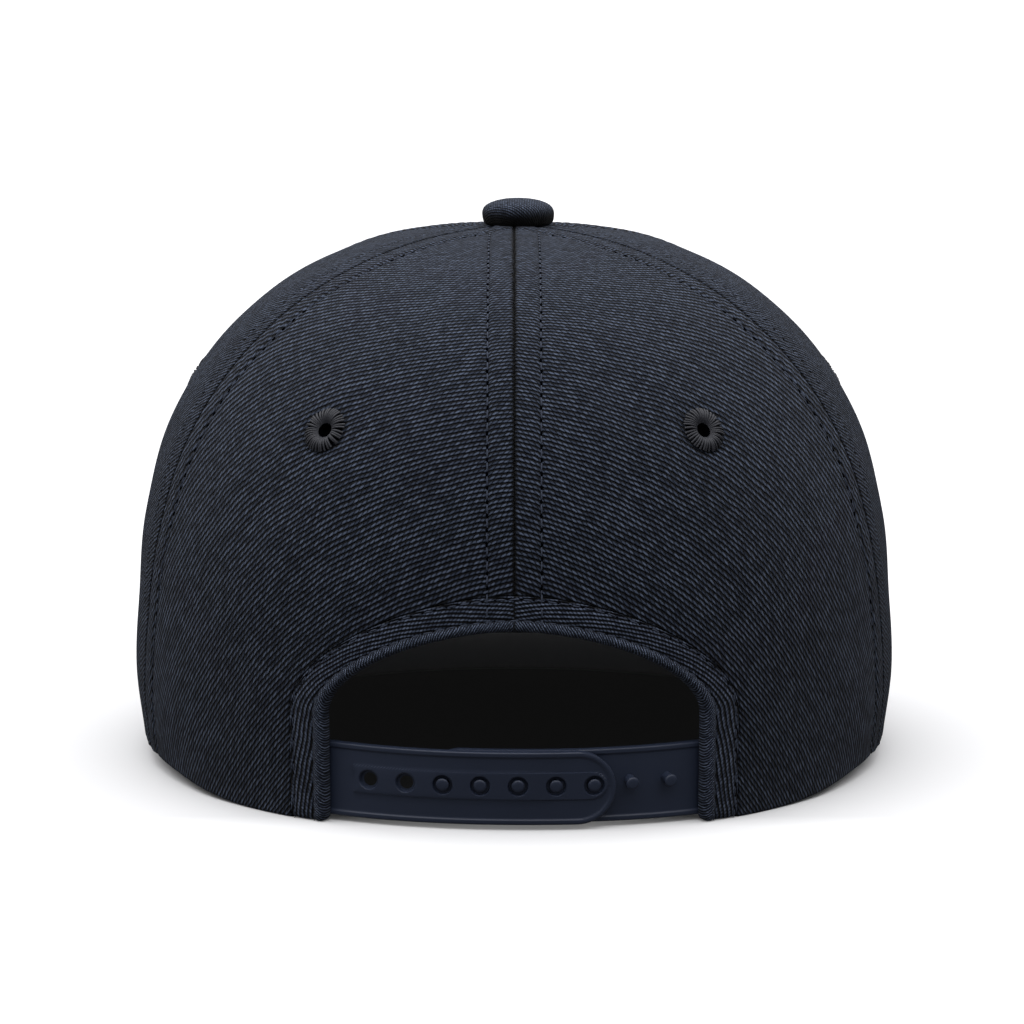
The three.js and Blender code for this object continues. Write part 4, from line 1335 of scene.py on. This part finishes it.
across = (1 - np.cos(np.linspace(0, math.pi, peak["columns"]))) / 2
across = 0.5 * across + 0.5 * np.linspace(0, 1, peak["columns"])
forward = np.linspace(0, 1, peak["rows"]) ** 0.8
across, forward = np.broadcast_arrays(across[:, None], forward[None, :])
plan = peakPlan(across, forward)
fromEdge = edgeDistance(plan)
rowPlaces = [peak["firstRow"] + peak["rowGap"] * index for index in range(peak["rowCount"])]
furrow = sum(peak["dip"] * bell(fromEdge, place, peak["dipWidth"]) for place in rowPlaces)
for layer, (depth, thickness) in peakLayers.items():
    top = frontRimHeight(plan[..., 0]) - peak["gap"] - depth
    rolled = rollDepth(fromEdge, thickness / 2)
    isUpper = layer == "upper"
    upperDip = rolled + (furrow if isUpper else 0)
    lowerDip = rolled + (0 if isUpper else furrow)
    outer = np.concatenate([plan, (top - upperDip)[..., None]], -1)
    inner = np.concatenate([plan, (top - thickness + lowerDip)[..., None]], -1)
    over = rolled[..., None] * (0.6, 0.8)    # the cloth runs on round the edge
    # painted shade: darker along the stitch furrows
    piece = slabPiece(
        f"peak{layer.title()}", gridTriangles(*fromEdge.shape), outer, inner, [peakTwill], uv=plan + over,
        marks={"creaseShade": np.clip(furrow, 0, 1) * 0.9}, zones=oneMaterial)
    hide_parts(f"peak_{layer}")
    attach(piece, "root")
rows = []
for place in rowPlaces:                      # where each column of the grid crosses the row
    crossing = []
    for column in range(0, peak["columns"], 2):
        if fromEdge[column, 0] > place + 2:
            crossing.append([np.interp(-place, -fromEdge[column], plan[column, :, axis]) for axis in (0, 1)])
    crossing = np.array(crossing)
    for isUpper in (True, False):
        depth = peak["dip"] - 0.05 if isUpper else sum(peakLayers["under"]) - peak["dip"] + 0.05
        height = frontRimHeight(crossing[:, 0]) - peak["gap"] - depth
        normals = np.tile((0.0, 0.0, 1.0 if isUpper else -1.0), (len(crossing), 1))
        rows.append((np.concatenate([crossing, height[:, None]], -1), normals))
sewRows("peakStitches", rows)
print("peak made")


# Snap strap: two halves in relief. The holed half lies outside, and the other's studs stand in its holes.
strap = {
    "height": 16.8, "floorGap": 1.2, "thickness": 1.6, "seat": 2.4, "layer": 2.4, "lean": 6, "tab": 12,
    "relief": 0.5, "bead": 1.2, "edgeRoll": 0.45, "platformHeight": 6.2, "platformStart": 3.5,
    "platformEnd": 2.8, "platformRise": 0.3, "beadRise": 0.3, "pitch": 8.3, "count": 7, "open": 2,
    "endMargin": 4.8, "shift": 0.8, "lift": 0.6, "hole": 1.5, "sink": 2.25, "sinkDepth": 1.1,
    "rimInsets": (0, 0.08, 0.2, 0.32, 0.45, 0.65, 0.88, 0.98, 1.1, 1.25, 1.4, 1.7),
    "platformInsets": (-0.3, -0.1, -0.05, 0.0, 0.05, 0.12, 0.35),
    "holeRings": (1.7, 1.9, 1.98, 2.06, 2.14, 2.22, 2.3, 2.5), "ringCount": 36,
    "flareReach": 2.5, "flareShare": 0.5, "flarePull": 1.25, "studCount": 28,
}
strapMiddle = strap["floorGap"] + strap["height"] / 2
snapLine = strapMiddle + strap["lift"]
firstHole = strap["shift"] - (strap["count"] + strap["open"] - 1) * strap["pitch"] / 2
lastHole = firstHole + (strap["count"] - 1) * strap["pitch"]


def strapPoint(x, height, depth):
    x, height, depth = np.broadcast_arrays(*(np.asarray(v, float) for v in (x, height, depth)))
    width = 2 * arch["halfWidth"]
    crossing = np.clip((x + width / 2) / width, 0, 1)
    point = backPoint(x, height, strap["seat"] + depth - strap["layer"] * crossing)
    point[..., 2] = height
    straight = np.maximum(1 - (2 * x / width) ** 2, 0)
    point[..., 1] += math.tan(math.radians(strap["lean"])) * straight * (strapMiddle - height)
    return point


def barInside(x, height, start, end, tall, middle):  # how far inside a bar with one round end a place is
    radius = tall / 2
    beyond = np.maximum(x - (end - radius), 0)
    inside = radius - np.hypot(beyond, height - middle)
    return np.minimum(inside, x - start) if start is not None else inside


def barLine(start, end, tall, middle, step):  # from the foot of the square end round to its top
    radius = tall / 2
    straight = end - radius - start
    run = np.linspace(start, end - radius, max(int(straight / step), 2), endpoint=False)
    turn = np.linspace(-math.pi / 2, math.pi / 2, max(int(math.pi * radius / step), 12))
    arc = np.stack([end - radius + radius * np.cos(turn), middle + radius * np.sin(turn)], -1)
    low = np.stack([run, np.full(len(run), middle - radius)], -1)
    high = np.stack([run[::-1], np.full(len(run), middle + radius)], -1)
    return np.concatenate([low, arc, high])


def strapDepth(x, height, end, holes, platform):
    border = barInside(x, height, None, end, strap["height"], strapMiddle)
    fall = smoothStep(border, strap["bead"] * 0.85, strap["bead"] * 1.2)
    depth = strap["relief"] - strap["beadRise"] * (1 - fall) + rollDepth(border, strap["edgeRoll"])
    if platform:
        inside = barInside(x, height, platform[0], platform[1], strap["platformHeight"], snapLine)
        depth -= strap["platformRise"] * smoothStep(inside, -0.06, 0.06)
        for hole in holes:
            away = np.hypot(x - hole, height - snapLine)
            sunk = 1 - smoothStep(away, strap["sink"] - 0.3, strap["sink"] + 0.03)
            depth += strap["sinkDepth"] * sunk
    return depth


def strapHalf(side, lastSnap, holes, platform):
    start, end = -arch["halfWidth"] - strap["tab"], side * lastSnap + strap["endMargin"]
    pieces, holeLoops = [], []
    for inset in strap["rimInsets"]:
        pieces.append(barLine(start, end - inset, strap["height"] - 2 * inset, strapMiddle, 0.9))
    rim = list(range(len(pieces[0])))
    if platform:
        for inset in strap["platformInsets"]:
            tall = strap["platformHeight"] - 2 * inset
            line = barLine(platform[0] + inset, platform[1] - inset, tall, snapLine, 0.7)
            close = np.linspace(line[-1], line[0], 7)[1:-1]
            pieces += [line, close]
    count = sum(len(piece) for piece in pieces)
    turn = np.linspace(0, 2 * math.pi, strap["ringCount"], endpoint=False)
    for hole in holes:
        for radius in (strap["hole"], *strap["holeRings"]):
            pieces.append(np.stack([hole + radius * np.cos(turn), snapLine + radius * np.sin(turn)], -1))
            if radius == strap["hole"]:
                holeLoops.append(list(range(count, count + len(turn))))
            count += len(turn)
    gridX, gridZ = np.meshgrid(
        np.arange(start + 1.5, end - 2, 1.6), strapMiddle + np.arange(-6, 6.1, 1.5))
    grid = np.stack([gridX.ravel(), gridZ.ravel()], -1)
    clear = barInside(grid[:, 0], grid[:, 1], None, end, strap["height"], strapMiddle) > 2.2
    if platform:
        inside = barInside(grid[:, 0], grid[:, 1], *platform, strap["platformHeight"], snapLine)
        clear &= (inside < -0.7) | (inside > 0.8)
        for hole in holes:
            clear &= np.hypot(grid[:, 0] - hole, grid[:, 1] - snapLine) > 2.9
    pieces.append(grid[clear])
    flat = np.concatenate(pieces)
    triangles = fillRegion(flat, rim, holeLoops)
    return triangles, flat, strapDepth(flat[:, 0], flat[:, 1], end, holes, platform)


def strapPiece(side, base, lastSnap, holes=(), platform=None):
    triangles, flat, depth = strapHalf(side, lastSnap, holes, platform)
    x, height = flat[:, 0] * side, flat[:, 1]
    outer = strapPoint(x, height, base + depth)
    for hole in holes:                       # towards the head each hole opens wider
        away = np.hypot(flat[:, 0] - hole, height - snapLine)
        isNear = away < strap["flareReach"]
        wider = np.where(isNear, strap["flareShare"] + strap["flarePull"] / np.maximum(away, 1), 1)
        x = np.where(isNear, hole + (x - hole) * wider, x)
        height = np.where(isNear, snapLine + (height - snapLine) * wider, height)
    inner = strapPoint(x, height, np.full(len(x), base + strap["relief"] + strap["thickness"]))
    faces, _ = slabFaces(triangles, len(outer))
    return np.concatenate([outer, inner]), faces


snaps = firstHole + strap["pitch"] * np.arange(strap["count"] + strap["open"])
platform = (firstHole - strap["platformStart"], lastHole + strap["platformEnd"])
points, faces = strapPiece(1, 0.0, lastHole, snaps[:strap["count"]], platform)
piece = makeObject("strapHoles", points, faces, [plastic], sharpAngle=50)
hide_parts("strap_holes")
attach(piece, "root")

studs = snaps[strap["open"]:]
studProfile = [
    (1.15, -0.8), (1.15, 1.9), (1.22, 2.1), (1.37, 2.25), (1.44, 2.42), (1.43, 2.6), (1.34, 2.76),
    (1.12, 2.87), (0.7, 2.92), (0.0, 2.94),
]
points, faces = strapPiece(-1, strap["layer"], studs[0])
points, faces = [points], list(faces)
count = len(points[0])
studPoints, studFaces = turnedMesh(studProfile, strap["studCount"])
for x in studs:
    step = 0.5
    sideways = strapPoint(x + step, snapLine, 0) - strapPoint(x - step, snapLine, 0)
    upward = strapPoint(x, snapLine + step, 0) - strapPoint(x, snapLine - step, 0)
    normal = unit(np.cross(sideways, upward))
    sideways = unit(sideways)
    foot = strapPoint(x, snapLine, 0) - normal * (strap["layer"] + strap["relief"])
    turned = studPoints @ np.stack([sideways, np.cross(normal, sideways), normal])
    points.append(foot + turned)
    faces += [tuple(v + count for v in face) for face in studFaces]
    count += len(studPoints)
piece = makeObject("strapStuds", np.concatenate(points), faces, [plastic], sharpAngle=50)
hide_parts("strap_studs")
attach(piece, "root")
print("strap made")
